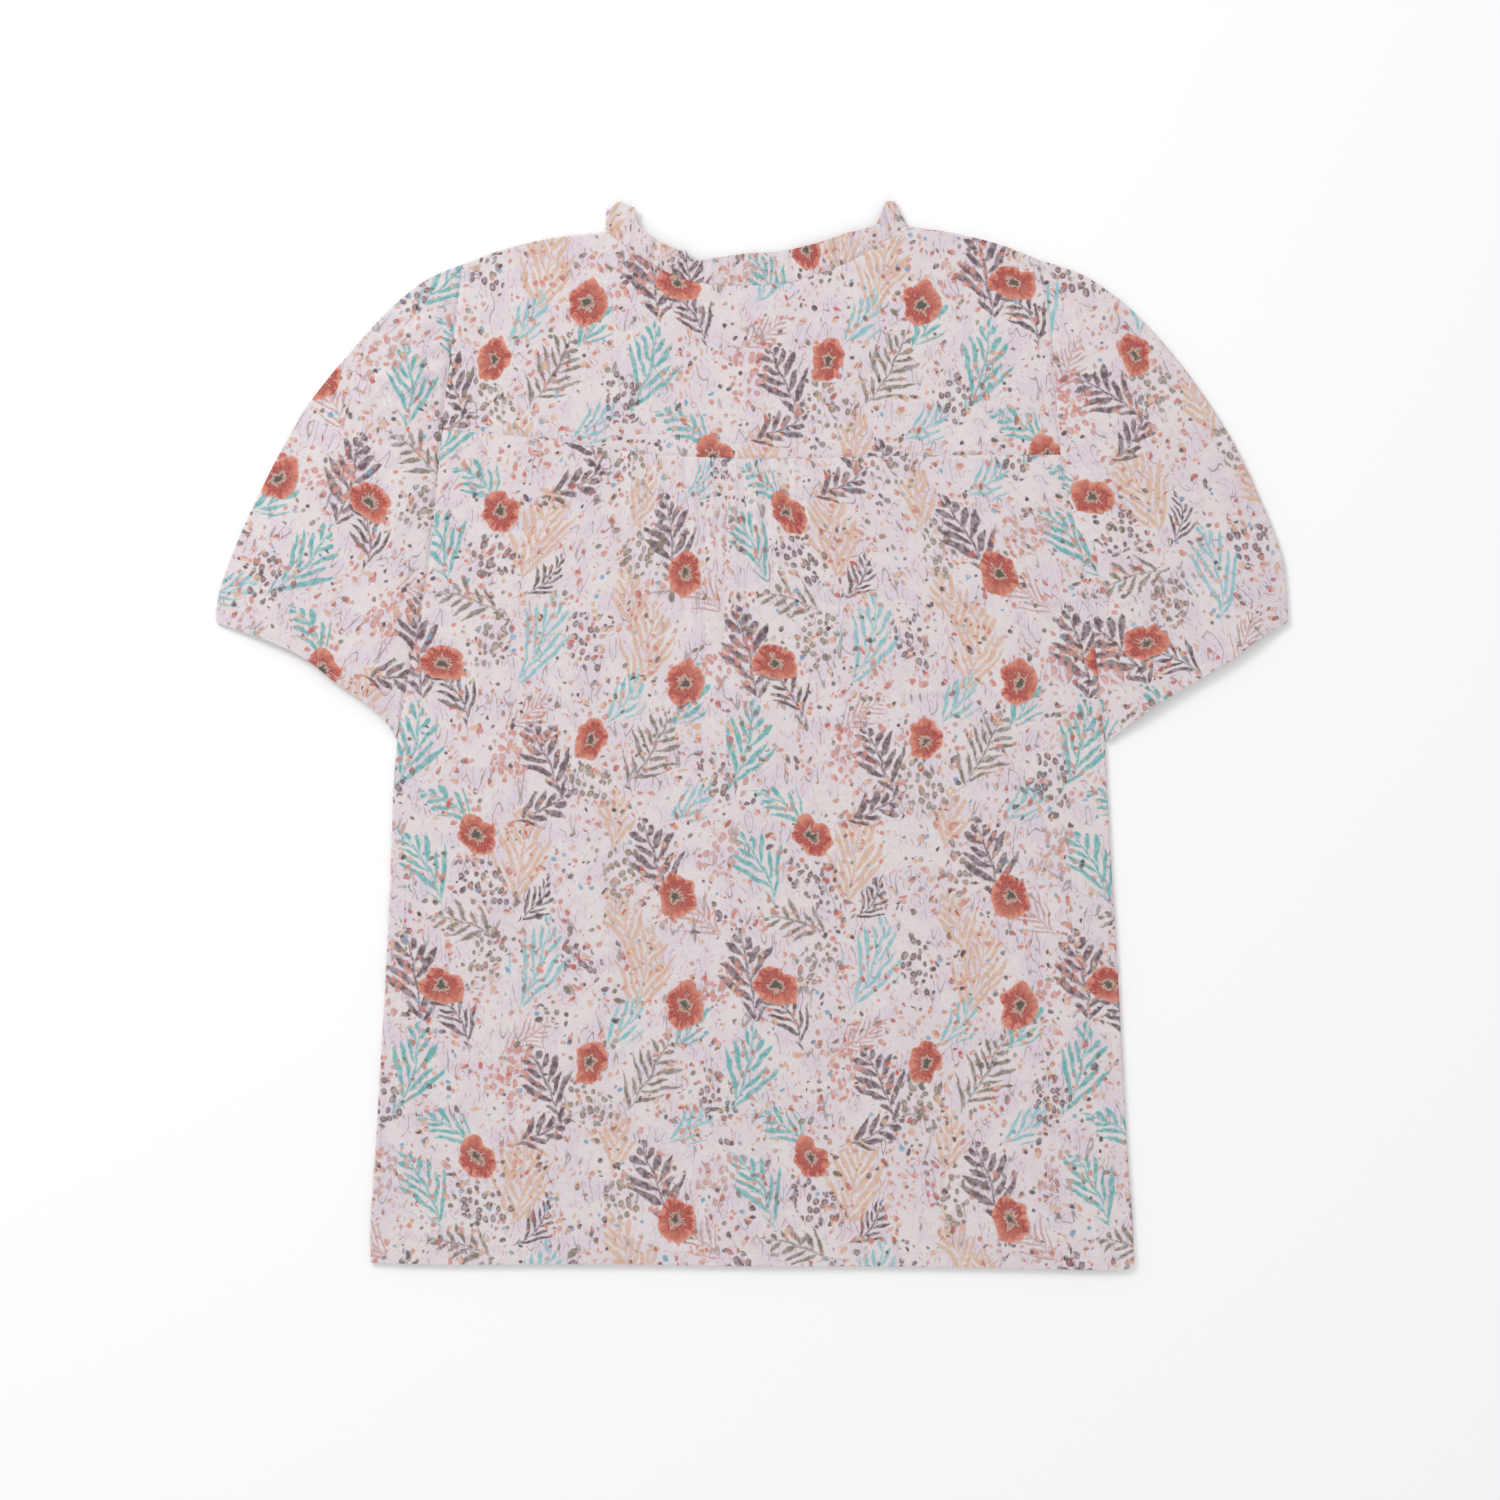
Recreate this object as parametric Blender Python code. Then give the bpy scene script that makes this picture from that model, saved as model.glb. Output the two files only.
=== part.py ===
"""A short-sleeved blouse with a frilled neck, lying flat on its front.

Each cut and sewn piece is one object: the front, the back yoke, the back panel that is
gathered under it, two puff sleeves and the neck frill. Each starts as the mid surface of
its cloth, worked out from the tables below, and a Solidify modifier gives the thickness.

Sizes here are millimetres: x to the viewer's right, y towards the neck, z up from the
surface that the blouse lies on. Meshes are made in metres.
"""

import math
from collections import namedtuple

import bpy
import numpy as np

MM = 0.001

# Cloth, and how its two layers lie on each other.
WALL = 1.2
SEAM_GAP = 0.4  # between mid surfaces, which leaves about 0.3 between the walls
FOLD_RADIUS = 1.2  # of the mid surface, where the cloth turns over at a side
FRILL_GAP = 0.6  # the same for the frill, whose gathers press against its seam
FOLD_SEAM_GAP = 1.0  # there, between mid surfaces, as the two rims lean together
UNDERARM_GAP = 0.5  # added to the seam gap where a sleeve ends beside the side seam
UNDERARM_REACH = 0.1  # share of the armhole over which it is added
LOWER_MID = WALL / 2
UPPER_MID = LOWER_MID + 2 * FOLD_RADIUS
LOWEST_UPPER_MID = LOWER_MID + WALL + SEAM_GAP

# Moves everything so that the blouse's box is centred on the origin.
CENTRING = (0.16, 0.05, 0.0)

# Soft height of the upper layer over the lower one.
BODY_LOFT = 0.5
SLEEVE_LOFT = 1.9
EDGE_RAMP = 34.0
ARMHOLE_RAMP = 30.0
NECK_DIP = 1.5  # where nothing lies under the yoke, it sinks towards the surface
NECK_DIP_AT = (3.0, 310.0)
NECK_DIP_SPREAD = (42.0, 32.0)

# Gathers of the back panel under the yoke seam.
BACK_GATHERS = 13
BACK_GATHER_SPAN = (-108.0, 62.0)
BACK_GATHER_HEIGHT = 0.75
BACK_GATHER_LENGTH = 165.0
BACK_GATHER_RAMP = 1 / 6  # share of the span over which they begin, at each end

# Gathers of the sleeve heads, as shares of the armhole from the shoulder down.
HEAD_GATHERS = 9
HEAD_GATHER_SPAN = (0.02, 0.46)
HEAD_GATHER_HEIGHT = 0.7
HEAD_GATHER_RAMP = 0.2
HEAD_GATHER_REACH = 0.5  # share of the sleeve's length over which they run out

# How uneven gathers are: the drift of their places and the change of their heights.
DRIFT = 0.22
DRIFT_WAVES = 2.3
DRIFT_START = 0.6
UNEVENNESS = 0.2
UNEVEN_WAVES = 3.1

# Waves of the frill. The run under the yoke is pressed flat.
BACK_FRILL_WAVES = 17
BACK_FRILL_HEIGHT = 1.5
BACK_FRILL_LIFT = 1.1
FRONT_FRILL_WAVES = 15
FRONT_FRILL_HEIGHT = 0.3
TIP_LIFT = 2.2  # at the shoulders, where the frill turns over and stands up
FRILL_RAMP = 1 / 18  # share of a run over which its waves begin, at each shoulder
FRILL_SEAM_SHARE = 0.25  # height of the waves at the seam over that at the free edge

# Outlines of one side of the blouse, both sides in a row: x and y of the left and right.
Pair = namedtuple("Pair", "left_x left_y right_x right_y")
SLEEVE_FOLD = (  # from the shoulder to the corner of the cuff
    Pair(-191.1, 310.4, 189.8, 313.0),
    Pair(-213.5, 301.0, 215.5, 304.4),
    Pair(-236.8, 283.0, 238.8, 289.7),
    Pair(-262.8, 255.2, 261.2, 268.9),
    Pair(-295.2, 214.5, 289.0, 235.5),
    Pair(-323.4, 162.5, 315.8, 194.5),
    Pair(-343.6, 117.5, 334.8, 154.5),
    Pair(-352.2, 91.0, 349.6, 115.0),
    Pair(-353.3, 74.5, 352.9, 74.9),
)
CUFF = (  # from that corner to the underarm
    Pair(-353.3, 74.5, 352.9, 74.9),
    Pair(-319.8, 62.6, 332.3, 62.2),
    Pair(-294.7, 50.5, 314.5, 49.2),
    Pair(-276.9, 36.6, 293.4, 36.6),
    Pair(-257.7, 23.4, 271.6, 23.4),
    Pair(-242.6, 10.2, 252.5, 10.2),
    Pair(-235.2, -1.7, 233.6, -4.0),
)
ARMHOLE = (  # from the shoulder to the underarm
    Pair(-191.1, 310.4, 189.8, 313.0),
    Pair(-195.7, 274.2, 196.2, 272.0),
    Pair(-201.2, 234.6, 198.8, 234.0),
    Pair(-205.4, 195.0, 201.8, 195.0),
    Pair(-208.9, 155.4, 208.4, 157.0),
    Pair(-213.4, 112.5, 217.6, 118.0),
    Pair(-220.6, 72.9, 223.6, 76.2),
    Pair(-227.6, 36.6, 227.6, 42.0),
    Pair(-233.0, 7.0, 231.4, 5.0),
)
SIDE_SEAM = (  # from the underarm to the hem
    Pair(-233.0, 7.0, 231.4, 5.0),
    Pair(-236.4, -35.0, 233.6, -35.0),
    Pair(-238.3, -90.0, 236.6, -90.0),
    Pair(-240.9, -145.0, 240.0, -145.0),
    Pair(-244.4, -208.0, 243.2, -208.0),
    Pair(-248.4, -273.0, 246.8, -273.0),
    Pair(-251.4, -318.0, 250.2, -318.0),
    Pair(-251.6, -347.3, 251.4, -347.8),
)

Point = namedtuple("Point", "x y")
HEM = (
    Point(-251.6, -347.3),
    Point(-200.0, -348.6),
    Point(-100.0, -348.4),
    Point(0.0, -349.6),
    Point(100.0, -349.8),
    Point(190.0, -351.4),
    Point(238.0, -352.4),
    Point(248.5, -351.0),
    Point(251.4, -347.8),
)
YOKE_SEAM_ENDS = Point(201.6, 185.1)  # heights of its left and its right end
YOKE_SEAM = (
    Point(-172.0, 198.8),
    Point(-138.9, 195.6),
    Point(-104.0, 190.2),
    Point(-62.0, 185.4),
    Point(-22.8, 183.2),
    Point(20.0, 182.6),
    Point(64.4, 183.6),
    Point(130.0, 184.8),
)

# The neck: where the frill is sewn on, and where its free edge lies.
Neck = namedtuple("Neck", "seam_x seam_y edge_x edge_y")
BACK_NECK = (
    Neck(-95.0, 331.4, -94.0, 346.5),
    Neck(-91.4, 328.4, -87.4, 351.6),
    Neck(-86.1, 324.4, -79.2, 347.6),
    Neck(-78.2, 319.1, -74.0, 335.0),
    Neck(-67.7, 312.0, -62.4, 327.0),
    Neck(-55.5, 305.0, -49.4, 320.0),
    Neck(-41.3, 299.8, -37.2, 313.4),
    Neck(-24.8, 297.2, -25.2, 314.4),
    Neck(-5.0, 296.6, -5.0, 317.6),
    Neck(14.9, 297.8, 14.9, 318.6),
    Neck(31.4, 300.6, 30.4, 321.4),
    Neck(47.9, 305.9, 46.6, 325.6),
    Neck(64.4, 312.5, 61.8, 331.0),
    Neck(76.6, 319.4, 73.0, 333.6),
    Neck(86.0, 325.6, 81.8, 337.6),
    Neck(94.0, 331.0, 87.4, 350.6),
    Neck(100.4, 335.6, 91.0, 352.0),
)
FRONT_NECK = (
    Neck(-95.0, 331.4, -94.0, 346.5),
    Neck(-92.6, 317.0, -84.4, 333.0),
    Neck(-87.0, 299.5, -71.4, 313.0),
    Neck(-76.0, 280.0, -61.5, 295.0),
    Neck(-57.5, 261.5, -46.5, 279.0),
    Neck(-31.0, 246.0, -25.5, 266.5),
    Neck(3.0, 240.5, 3.0, 261.8),
    Neck(36.5, 246.0, 31.0, 266.5),
    Neck(63.0, 262.0, 52.0, 279.5),
    Neck(82.0, 281.5, 67.0, 296.5),
    Neck(93.0, 302.0, 77.0, 315.5),
    Neck(98.4, 319.0, 87.0, 335.0),
    Neck(100.4, 335.6, 91.0, 352.0),
)

# Soft folds pressed into the upper layer. Turn is degrees clockwise from straight up.
Fold = namedtuple("Fold", "x y turn length width height")
SOFT_FOLDS = (
    Fold(-168, 20, 3, 300, 20, 0.8),
    Fold(-112, -70, -2, 420, 17, 0.9),
    Fold(-58, -120, 2, 360, 15, -0.6),
    Fold(-8, -90, 0, 430, 18, 0.8),
    Fold(52, -60, -3, 460, 16, -0.6),
    Fold(104, -110, -2, 380, 19, 0.9),
    Fold(172, 0, -4, 340, 18, 0.8),
    Fold(205, -230, -8, 190, 14, -0.6),
    Fold(-205, -240, 8, 180, 15, -0.6),
    Fold(-120, 262, 62, 130, 13, 0.6),
    Fold(128, 262, -58, 130, 13, 0.6),
    Fold(-284, 150, 24, 150, 13, 0.5),
    Fold(-306, 118, 30, 120, 10, -0.5),
    Fold(-256, 120, 14, 150, 11, -0.5),
    Fold(282, 150, -26, 150, 13, 0.5),
    Fold(304, 122, -32, 120, 10, -0.5),
    Fold(254, 122, -15, 150, 11, -0.5),
)

CLOTH_COLOUR = (0.74, 0.64, 0.66, 1.0)
CLOTH_ROUGHNESS = 0.85

# Shares of the panels' sides at which the armhole ends and the side seam begins, and how
# far below that point the cloth has begun to turn over.
FRONT_UNDERARM = 0.47
BACK_UNDERARM = 0.36
TURN_START = 3.9
FLAT_TURN = 1e-4  # stands for no turn at all, where the turn is divided by

# How finely the mid surfaces are divided.
FOLD_STEPS = 3
SHOULDER_STEPS = 5
YOKE_NECK_STEPS = 26
FRONT_NECK_STEPS = 44
PLAIN_STEPS = 6
YOKE_ROWS = 7
FRONT_ARMHOLE_ROWS = 20
BACK_ARMHOLE_ROWS = 8
SIDE_ROWS = 7
GATHER_STEPS = 4
SLEEVE_ROWS = 11
SLEEVE_ROW_POWER = 1.15  # above 1, rows are closer together at the armhole
SLEEVE_PLAIN_STEPS = 11
SLEEVE_UNDER_STEPS = 20
FRILL_ROWS = 3
FRILL_STEPS = 5


class Curve:
    """A smooth curve through a few points, read by the share of its length in x and y."""

    SPAN_STEPS = 16

    def __init__(self, points):
        points = np.array(points, float)
        first = 2 * points[0] - points[1]
        last = 2 * points[-1] - points[-2]
        run = np.vstack([first, points, last])
        t = np.linspace(0, 1, self.SPAN_STEPS, endpoint=False)[:, None]
        spans = []
        for a, b, c, d in zip(run[:-3], run[1:-2], run[2:-1], run[3:]):
            bend = (2 * a - 5 * b + 4 * c - d) * t**2 + (3 * b - a - 3 * c + d) * t**3
            spans.append((2 * b + (c - a) * t + bend) / 2)
        self.points = np.vstack(spans + [points[-1:]])
        steps = np.hypot(*np.diff(self.points[:, :2], axis=0).T)
        self.lengths = np.concatenate([[0], np.cumsum(steps)])
        self.shares = self.lengths / self.lengths[-1]

    def at(self, shares):
        shares = np.clip(shares, 0, 1)
        columns = [np.interp(shares, self.shares, column) for column in self.points.T]
        return np.stack(columns, axis=-1)

    def share_at_height(self, y):
        return float(np.interp(-y, -self.points[:, 1], self.shares))

    def part(self, first, last):
        """The stretch between two shares, as a curve of its own."""
        spans = len(self.points) // self.SPAN_STEPS
        return Curve(self.at(np.linspace(first, last, 2 * spans + 4)))


class Joined:
    """Curves end to end, each taking a stated share, so that corners fall at those shares."""

    def __init__(self, curves, corners=()):
        self.curves = curves
        self.knots = np.concatenate([[0], corners, [1]])

    def at(self, shares):
        shares = np.clip(shares, 0, 1)
        result = self.curves[0].at(shares * 0)
        for curve, first, last in zip(self.curves, self.knots, self.knots[1:]):
            inside = (shares >= first) & (shares <= last)
            own = curve.at((shares - first) / (last - first))
            result = np.where(inside[..., None], own, result)
        return result


def side_curve(table, side):
    """The left (-1) or the right (1) outline of a table of pairs."""
    first = 0 if side < 0 else 2
    return Curve([row[first : first + 2] for row in table])


def back_to_front(curve):
    step = Curve.SPAN_STEPS // 4
    return Curve(curve.points[::-step])


def smooth(t):
    t = np.clip(t, 0, 1)
    return t * t * (3 - 2 * t)


def between_ends(place, ramp):
    """Rises from 0 to 1 over the ramp after place 0, and falls again before place 1."""
    return smooth(place / ramp) * smooth((1 - place) / ramp)


def distance_to(curves, points):
    """The distance in x and y from each point to the nearest of these curves."""
    nearest = np.full(points.shape[:-1], np.inf)
    for curve in curves:
        for place in curve.points[::2, :2]:
            nearest = np.minimum(nearest, np.hypot(*(points[..., :2] - place).T).T)
    return nearest


SIDES = {"left": -1, "right": 1}
ARMHOLES = {side: side_curve(ARMHOLE, side) for side in SIDES.values()}
SIDE_SEAMS = {side: side_curve(SIDE_SEAM, side) for side in SIDES.values()}
SLEEVE_FOLDS = {side: side_curve(SLEEVE_FOLD, side) for side in SIDES.values()}
SHOULDERS = {
    -1: Curve([BACK_NECK[0][:2], (-128.0, 328.3), (-162.0, 320.9), ARMHOLE[0][:2]]),
    1: Curve([BACK_NECK[-1][:2], (130.0, 331.4), (162.0, 323.8), ARMHOLE[0][2:]]),
}
TURNED_EDGES = [
    curve
    for edges in (SIDE_SEAMS, SLEEVE_FOLDS, SHOULDERS)
    for curve in edges.values()
]


def fold_heights(points):
    """The sum of the soft folds at each point."""
    total = np.zeros(points.shape[:-1])
    for fold in SOFT_FOLDS:
        turn = math.radians(fold.turn)
        x = points[..., 0] - fold.x
        y = points[..., 1] - fold.y
        along = x * math.sin(turn) + y * math.cos(turn)
        beside = x * math.cos(turn) - y * math.sin(turn)
        fade = np.exp(-((2 * along / fold.length) ** 4))
        total += fold.height * fade * np.exp(-((beside / fold.width) ** 2))
    return total


def upper_height(points):
    """The mid surface of the upper layer, the same for every piece, so that seams meet."""
    ramp = smooth(distance_to(TURNED_EDGES, points) / EDGE_RAMP)
    dip = 1 - sum(
        ((points[..., axis] - NECK_DIP_AT[axis]) / NECK_DIP_SPREAD[axis]) ** 2
        for axis in range(2)
    )
    lift = BODY_LOFT + fold_heights(points)
    height = UPPER_MID + ramp * lift - NECK_DIP * smooth(dip)
    return np.maximum(height, LOWEST_UPPER_MID)


def sleeve_puff(points, side):
    """What a sleeve stands up above the body's layer, away from its edges."""
    from_fold = distance_to([SLEEVE_FOLDS[side], SIDE_SEAMS[side]], points)
    from_seam = distance_to([ARMHOLES[side]], points)
    return SLEEVE_LOFT * smooth(from_fold / EDGE_RAMP) * smooth(from_seam / ARMHOLE_RAMP)


def gathers(place, count):
    """Uneven waves between -1 and 1 as place runs from 0 to 1."""
    drift = DRIFT * np.sin(2 * math.pi * DRIFT_WAVES * place + DRIFT_START)
    size = 1 - UNEVENNESS + UNEVENNESS * np.sin(2 * math.pi * UNEVEN_WAVES * place)
    return size * np.sin(2 * math.pi * (count * place + drift))


def coons(top, bottom, left, right, across, down):
    """Points of the surface that fills four curves, at these shares across and down."""
    u = across[..., None]
    v = down[..., None]
    start = np.zeros(1)
    end = np.ones(1)
    corners = (1 - u) * (1 - v) * top.at(start) + u * (1 - v) * top.at(end)
    corners = corners + (1 - u) * v * bottom.at(start) + u * v * bottom.at(end)
    rows = (1 - v) * top.at(across) + v * bottom.at(across)
    columns = (1 - u) * left.at(down) + u * right.at(down)
    return rows + columns - corners


def turned_edge(turned):
    """Distances from the outline and drops of the columns that turn over at an edge.

    turned is 1 where the edge is a fold and 0 where it lies flat, one number for each
    row. Column 0 is the outermost one, and the last is where the turn begins.
    """
    end = math.acos(FOLD_SEAM_GAP / 2 / FOLD_RADIUS)
    angles = np.linspace(end, 0, FOLD_STEPS + 1)[None, :]
    share = np.maximum(turned, FLAT_TURN)[:, None]
    run = FOLD_RADIUS / share * np.sin(share * angles)
    drop = FOLD_RADIUS / share * (1 - np.cos(share * angles))
    return run[:, :1] - run + share * WALL / 2, drop


def panel(top, bottom, left, right, columns, rows, side_turned, top_turned):
    """Grid over a body panel, and how far each point drops at its turned edges.

    columns and rows are shares from edge to edge, and side_turned and top_turned say for
    each of them how far its end turns over.
    """
    inset, drop = turned_edge(side_turned)
    width = (right.at(rows) - left.at(rows))[:, :1]
    edge = inset / width
    inner = edge[:, -1:] + (1 - 2 * edge[:, -1:]) * columns[None, 1:-1]
    across = np.hstack([edge, inner, 1 - edge[:, ::-1]])
    blank = np.zeros_like(inner)
    side_drop = np.hstack([drop, blank, drop[:, ::-1]])

    ends = np.ones(FOLD_STEPS)
    top_turned = np.concatenate([top_turned[0] * ends, top_turned, top_turned[-1] * ends])
    inset, drop = turned_edge(top_turned)
    height = top.at(across[0]) - bottom.at(across[0])
    edge = (inset / height[:, 1:2]).T
    inner = edge[-1:] + (1 - edge[-1:]) * rows[1:, None]
    down = np.vstack([edge, inner])
    top_drop = np.vstack([drop.T, np.zeros_like(inner)])

    repeat = np.concatenate([np.zeros(FOLD_STEPS, int), np.arange(len(rows))])
    grid = coons(top, bottom, left, right, across[repeat], down)
    return grid, side_drop[repeat] + top_drop


def cloth(name, grid, closed=False):
    """The object of a piece: its mid surface as a mesh, given thickness by Solidify."""
    rows, columns = grid.shape[:2]
    faces = []
    for row in range(rows - 1):
        for column in range(columns if closed else columns - 1):
            beside = (column + 1) % columns
            low = row * columns
            high = low + columns
            faces.append((low + column, high + column, high + beside, low + beside))
    mesh = bpy.data.meshes.new(name)
    points = (grid.reshape(-1, 3) + CENTRING) * MM
    mesh.from_pydata(points.tolist(), [], faces)
    mesh.validate()
    mesh.shade_smooth()
    piece = bpy.data.objects.new(name, mesh)
    bpy.context.scene.collection.objects.link(piece)
    wall = piece.modifiers.new("Wall", "SOLIDIFY")
    wall.thickness = WALL * MM
    wall.offset = 0
    wall.use_even_offset = False
    piece.data.materials.append(cloth_material(name))
    return piece


def cloth_material(name):
    material = bpy.data.materials.new(name + "_cotton")
    material.use_nodes = True
    shader = material.node_tree.nodes["Principled BSDF"]
    shader.inputs["Base Color"].default_value = CLOTH_COLOUR
    shader.inputs["Roughness"].default_value = CLOTH_ROUGHNESS
    shader.inputs["Metallic"].default_value = 0.0
    return material


def at_height(points, height):
    return np.concatenate([points, height[..., None]], axis=-1)


def neck_line(table):
    """The seam of the frill as a curve."""
    return Curve([row[:2] for row in table])


def top_edge(neck):
    """Shoulder, neck and shoulder as one edge, with the shares of its two corners."""
    parts = [back_to_front(SHOULDERS[-1]), neck, SHOULDERS[1]]
    lengths = np.cumsum([curve.lengths[-1] for curve in parts])
    corners = lengths[:2] / lengths[-1]
    return Joined(parts, corners), corners


def top_columns(corners, neck_steps):
    """Shares of the columns under shoulder, neck and shoulder, and which turn over."""
    left = np.linspace(0, corners[0], SHOULDER_STEPS + 1)
    neck = np.linspace(corners[0], corners[1], neck_steps + 1)
    right = np.linspace(corners[1], 1, SHOULDER_STEPS + 1)
    shoulder = np.ones(SHOULDER_STEPS + 1)
    turned = np.concatenate([shoulder, np.zeros(neck_steps - 1), shoulder])
    return np.concatenate([left, neck[1:-1], right]), turned


def yoke_seam(below=0.0):
    """The seam under the yoke, this far below it, and its ends as armhole shares."""
    ends = {}
    corners = {}
    for side, height in zip(SIDES.values(), YOKE_SEAM_ENDS):
        ends[side] = ARMHOLES[side].share_at_height(height - below)
        corners[side] = ARMHOLES[side].at(np.array([ends[side]]))[0]
    middle = [(point.x, point.y - below) for point in YOKE_SEAM]
    return Curve([corners[-1], *middle, corners[1]]), ends


def panel_rows(underarm, armhole_rows):
    """Shares of a panel's rows, its first ones beside the armhole, and which turn over."""
    turn = TURN_START * (1 - underarm) / SIDE_SEAMS[-1].lengths[-1]
    beside_armhole = np.linspace(0, underarm, armhole_rows)
    beside_side = np.linspace(underarm, 1, SIDE_ROWS)[1:]
    rows = np.concatenate([beside_armhole, [underarm + turn], beside_side])
    return rows, (rows > underarm).astype(float)


def make_front():
    top, corners = top_edge(neck_line(FRONT_NECK))
    columns, top_turned = top_columns(corners, FRONT_NECK_STEPS)
    edges = [
        Joined([ARMHOLES[side], SIDE_SEAMS[side]], [FRONT_UNDERARM])
        for side in SIDES.values()
    ]
    rows, side_turned = panel_rows(FRONT_UNDERARM, FRONT_ARMHOLE_ROWS)
    grid, drop = panel(
        top, Curve(HEM), *edges, columns, rows, side_turned, top_turned
    )
    return cloth("front", at_height(grid, LOWER_MID + drop))


def make_back_yoke():
    top, corners = top_edge(neck_line(BACK_NECK))
    columns, top_turned = top_columns(corners, YOKE_NECK_STEPS)
    seam, ends = yoke_seam()
    edges = [ARMHOLES[side].part(0, ends[side]) for side in SIDES.values()]
    rows = np.linspace(0, 1, YOKE_ROWS)
    grid, drop = panel(top, seam, *edges, columns, rows, rows * 0, top_turned)
    return cloth("back_yoke", at_height(grid, upper_height(grid) - drop))


def make_back_body():
    top, ends = yoke_seam(SEAM_GAP)
    edges = [
        Joined([ARMHOLES[side].part(ends[side], 1), SIDE_SEAMS[side]], [BACK_UNDERARM])
        for side in SIDES.values()
    ]
    first, last = (
        float(np.interp(x, top.points[:, 0], top.shares)) for x in BACK_GATHER_SPAN
    )
    columns = np.concatenate(
        [
            np.linspace(0, first, PLAIN_STEPS + 1)[:-1],
            np.linspace(first, last, GATHER_STEPS * BACK_GATHERS + 1),
            np.linspace(last, 1, PLAIN_STEPS + 1)[1:],
        ]
    )
    rows, side_turned = panel_rows(BACK_UNDERARM, BACK_ARMHOLE_ROWS)
    grid, drop = panel(
        top, Curve(HEM), *edges, columns, rows, side_turned, columns * 0
    )
    low, high = BACK_GATHER_SPAN
    place = (grid[..., 0] - low) / (high - low)
    inside = between_ends(place, BACK_GATHER_RAMP)
    below = top.at(np.array([0.5]))[0, 1] - grid[..., 1]
    fade = 1 - smooth(below / BACK_GATHER_LENGTH)
    waves = BACK_GATHER_HEIGHT * inside * fade * gathers(place, BACK_GATHERS)
    height = np.maximum(upper_height(grid) + waves, LOWEST_UPPER_MID)
    return cloth("back_body", at_height(grid, height - drop))


def outward(curve, side):
    """Unit vectors at the curve's points, out of the garment's body."""
    along = np.gradient(curve.points, axis=0)
    along /= np.hypot(*along.T)[:, None]
    return side * np.stack([-along[:, 1], along[:, 0]], axis=1)


def make_sleeve(name, side):
    to_underarm = 1 - ARMHOLES[side].shares
    gap = SEAM_GAP + UNDERARM_GAP * smooth(1 - to_underarm / UNDERARM_REACH)[:, None]
    clear = ARMHOLES[side].points + gap * outward(ARMHOLES[side], side)
    step = Curve.SPAN_STEPS // 2
    armhole = Curve(clear[::step])
    fold = Curve(np.vstack([clear[:1], SLEEVE_FOLDS[side].points[step::step]]))
    cuff = side_curve(CUFF, side)
    underarm = Curve(np.linspace(clear[-1], cuff.points[-1], 3))

    inset = FOLD_RADIUS + WALL / 2
    down = np.linspace(0, 1, SLEEVE_ROWS) ** SLEEVE_ROW_POWER
    widths = np.hypot(*(underarm.at(down) - fold.at(down)).T)[:, None]
    start = inset / widths
    low, high = HEAD_GATHER_SPAN
    top_shares = np.concatenate(
        [
            [0],
            np.linspace(low, high, GATHER_STEPS * HEAD_GATHERS // 2 + 1),
            np.linspace(high, 1, SLEEVE_PLAIN_STEPS)[1:],
        ]
    )
    under_shares = np.linspace(1, 0, SLEEVE_UNDER_STEPS)
    bend = np.linspace(0, math.pi, FOLD_STEPS + 2)[1:-1]
    reach = (inset - FOLD_RADIUS * np.sin(bend)) / widths

    def spread(shares):
        return start + (1 - 2 * start) * shares[None, :]

    turn_heights = LOWER_MID + FOLD_RADIUS * (1 + np.cos(bend))
    across = np.hstack([spread(top_shares), 1 - reach, spread(under_shares), reach])
    downs = np.repeat(down[:, None], across.shape[1], axis=1)
    grid = coons(armhole, cuff, fold, underarm, across, downs)

    top = slice(0, len(top_shares))
    place = (across[:, top] - low) / (high - low)
    inside = between_ends(place, HEAD_GATHER_RAMP)
    fade = 1 - smooth(downs[:, top] / HEAD_GATHER_REACH)
    waves = HEAD_GATHER_HEIGHT * inside * fade * gathers(place, HEAD_GATHERS / 2)
    height = upper_height(grid[:, top]) + sleeve_puff(grid[:, top], side) + waves
    height = np.maximum(height, LOWEST_UPPER_MID)
    heights = np.full(across.shape, LOWER_MID)
    heights[:, top] = height
    first_turn = len(top_shares)
    heights[:, first_turn : first_turn + FOLD_STEPS] = turn_heights
    heights[:, -FOLD_STEPS:] = turn_heights[::-1]
    return cloth(name, at_height(grid, heights), closed=True)


def frill_run(table, waves):
    """Seam points, edge points and shares of one run of the frill, with even steps."""
    curve = Curve(table)
    shares = np.linspace(0, 1, waves * FRILL_STEPS + 1)
    points = curve.at(shares)
    seam = points[:, :2]
    edge = points[:, 2:]
    toward = edge - seam
    toward /= np.hypot(*toward.T)[:, None]
    along = np.gradient(seam, axis=0)
    along /= np.hypot(*along.T)[:, None]
    across = np.stack([-along[:, 1], along[:, 0]], axis=1)
    slant = 1 - np.sum(across * toward, axis=1, keepdims=True)
    return seam + FRILL_GAP * (across + slant * toward), edge, shares


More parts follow.
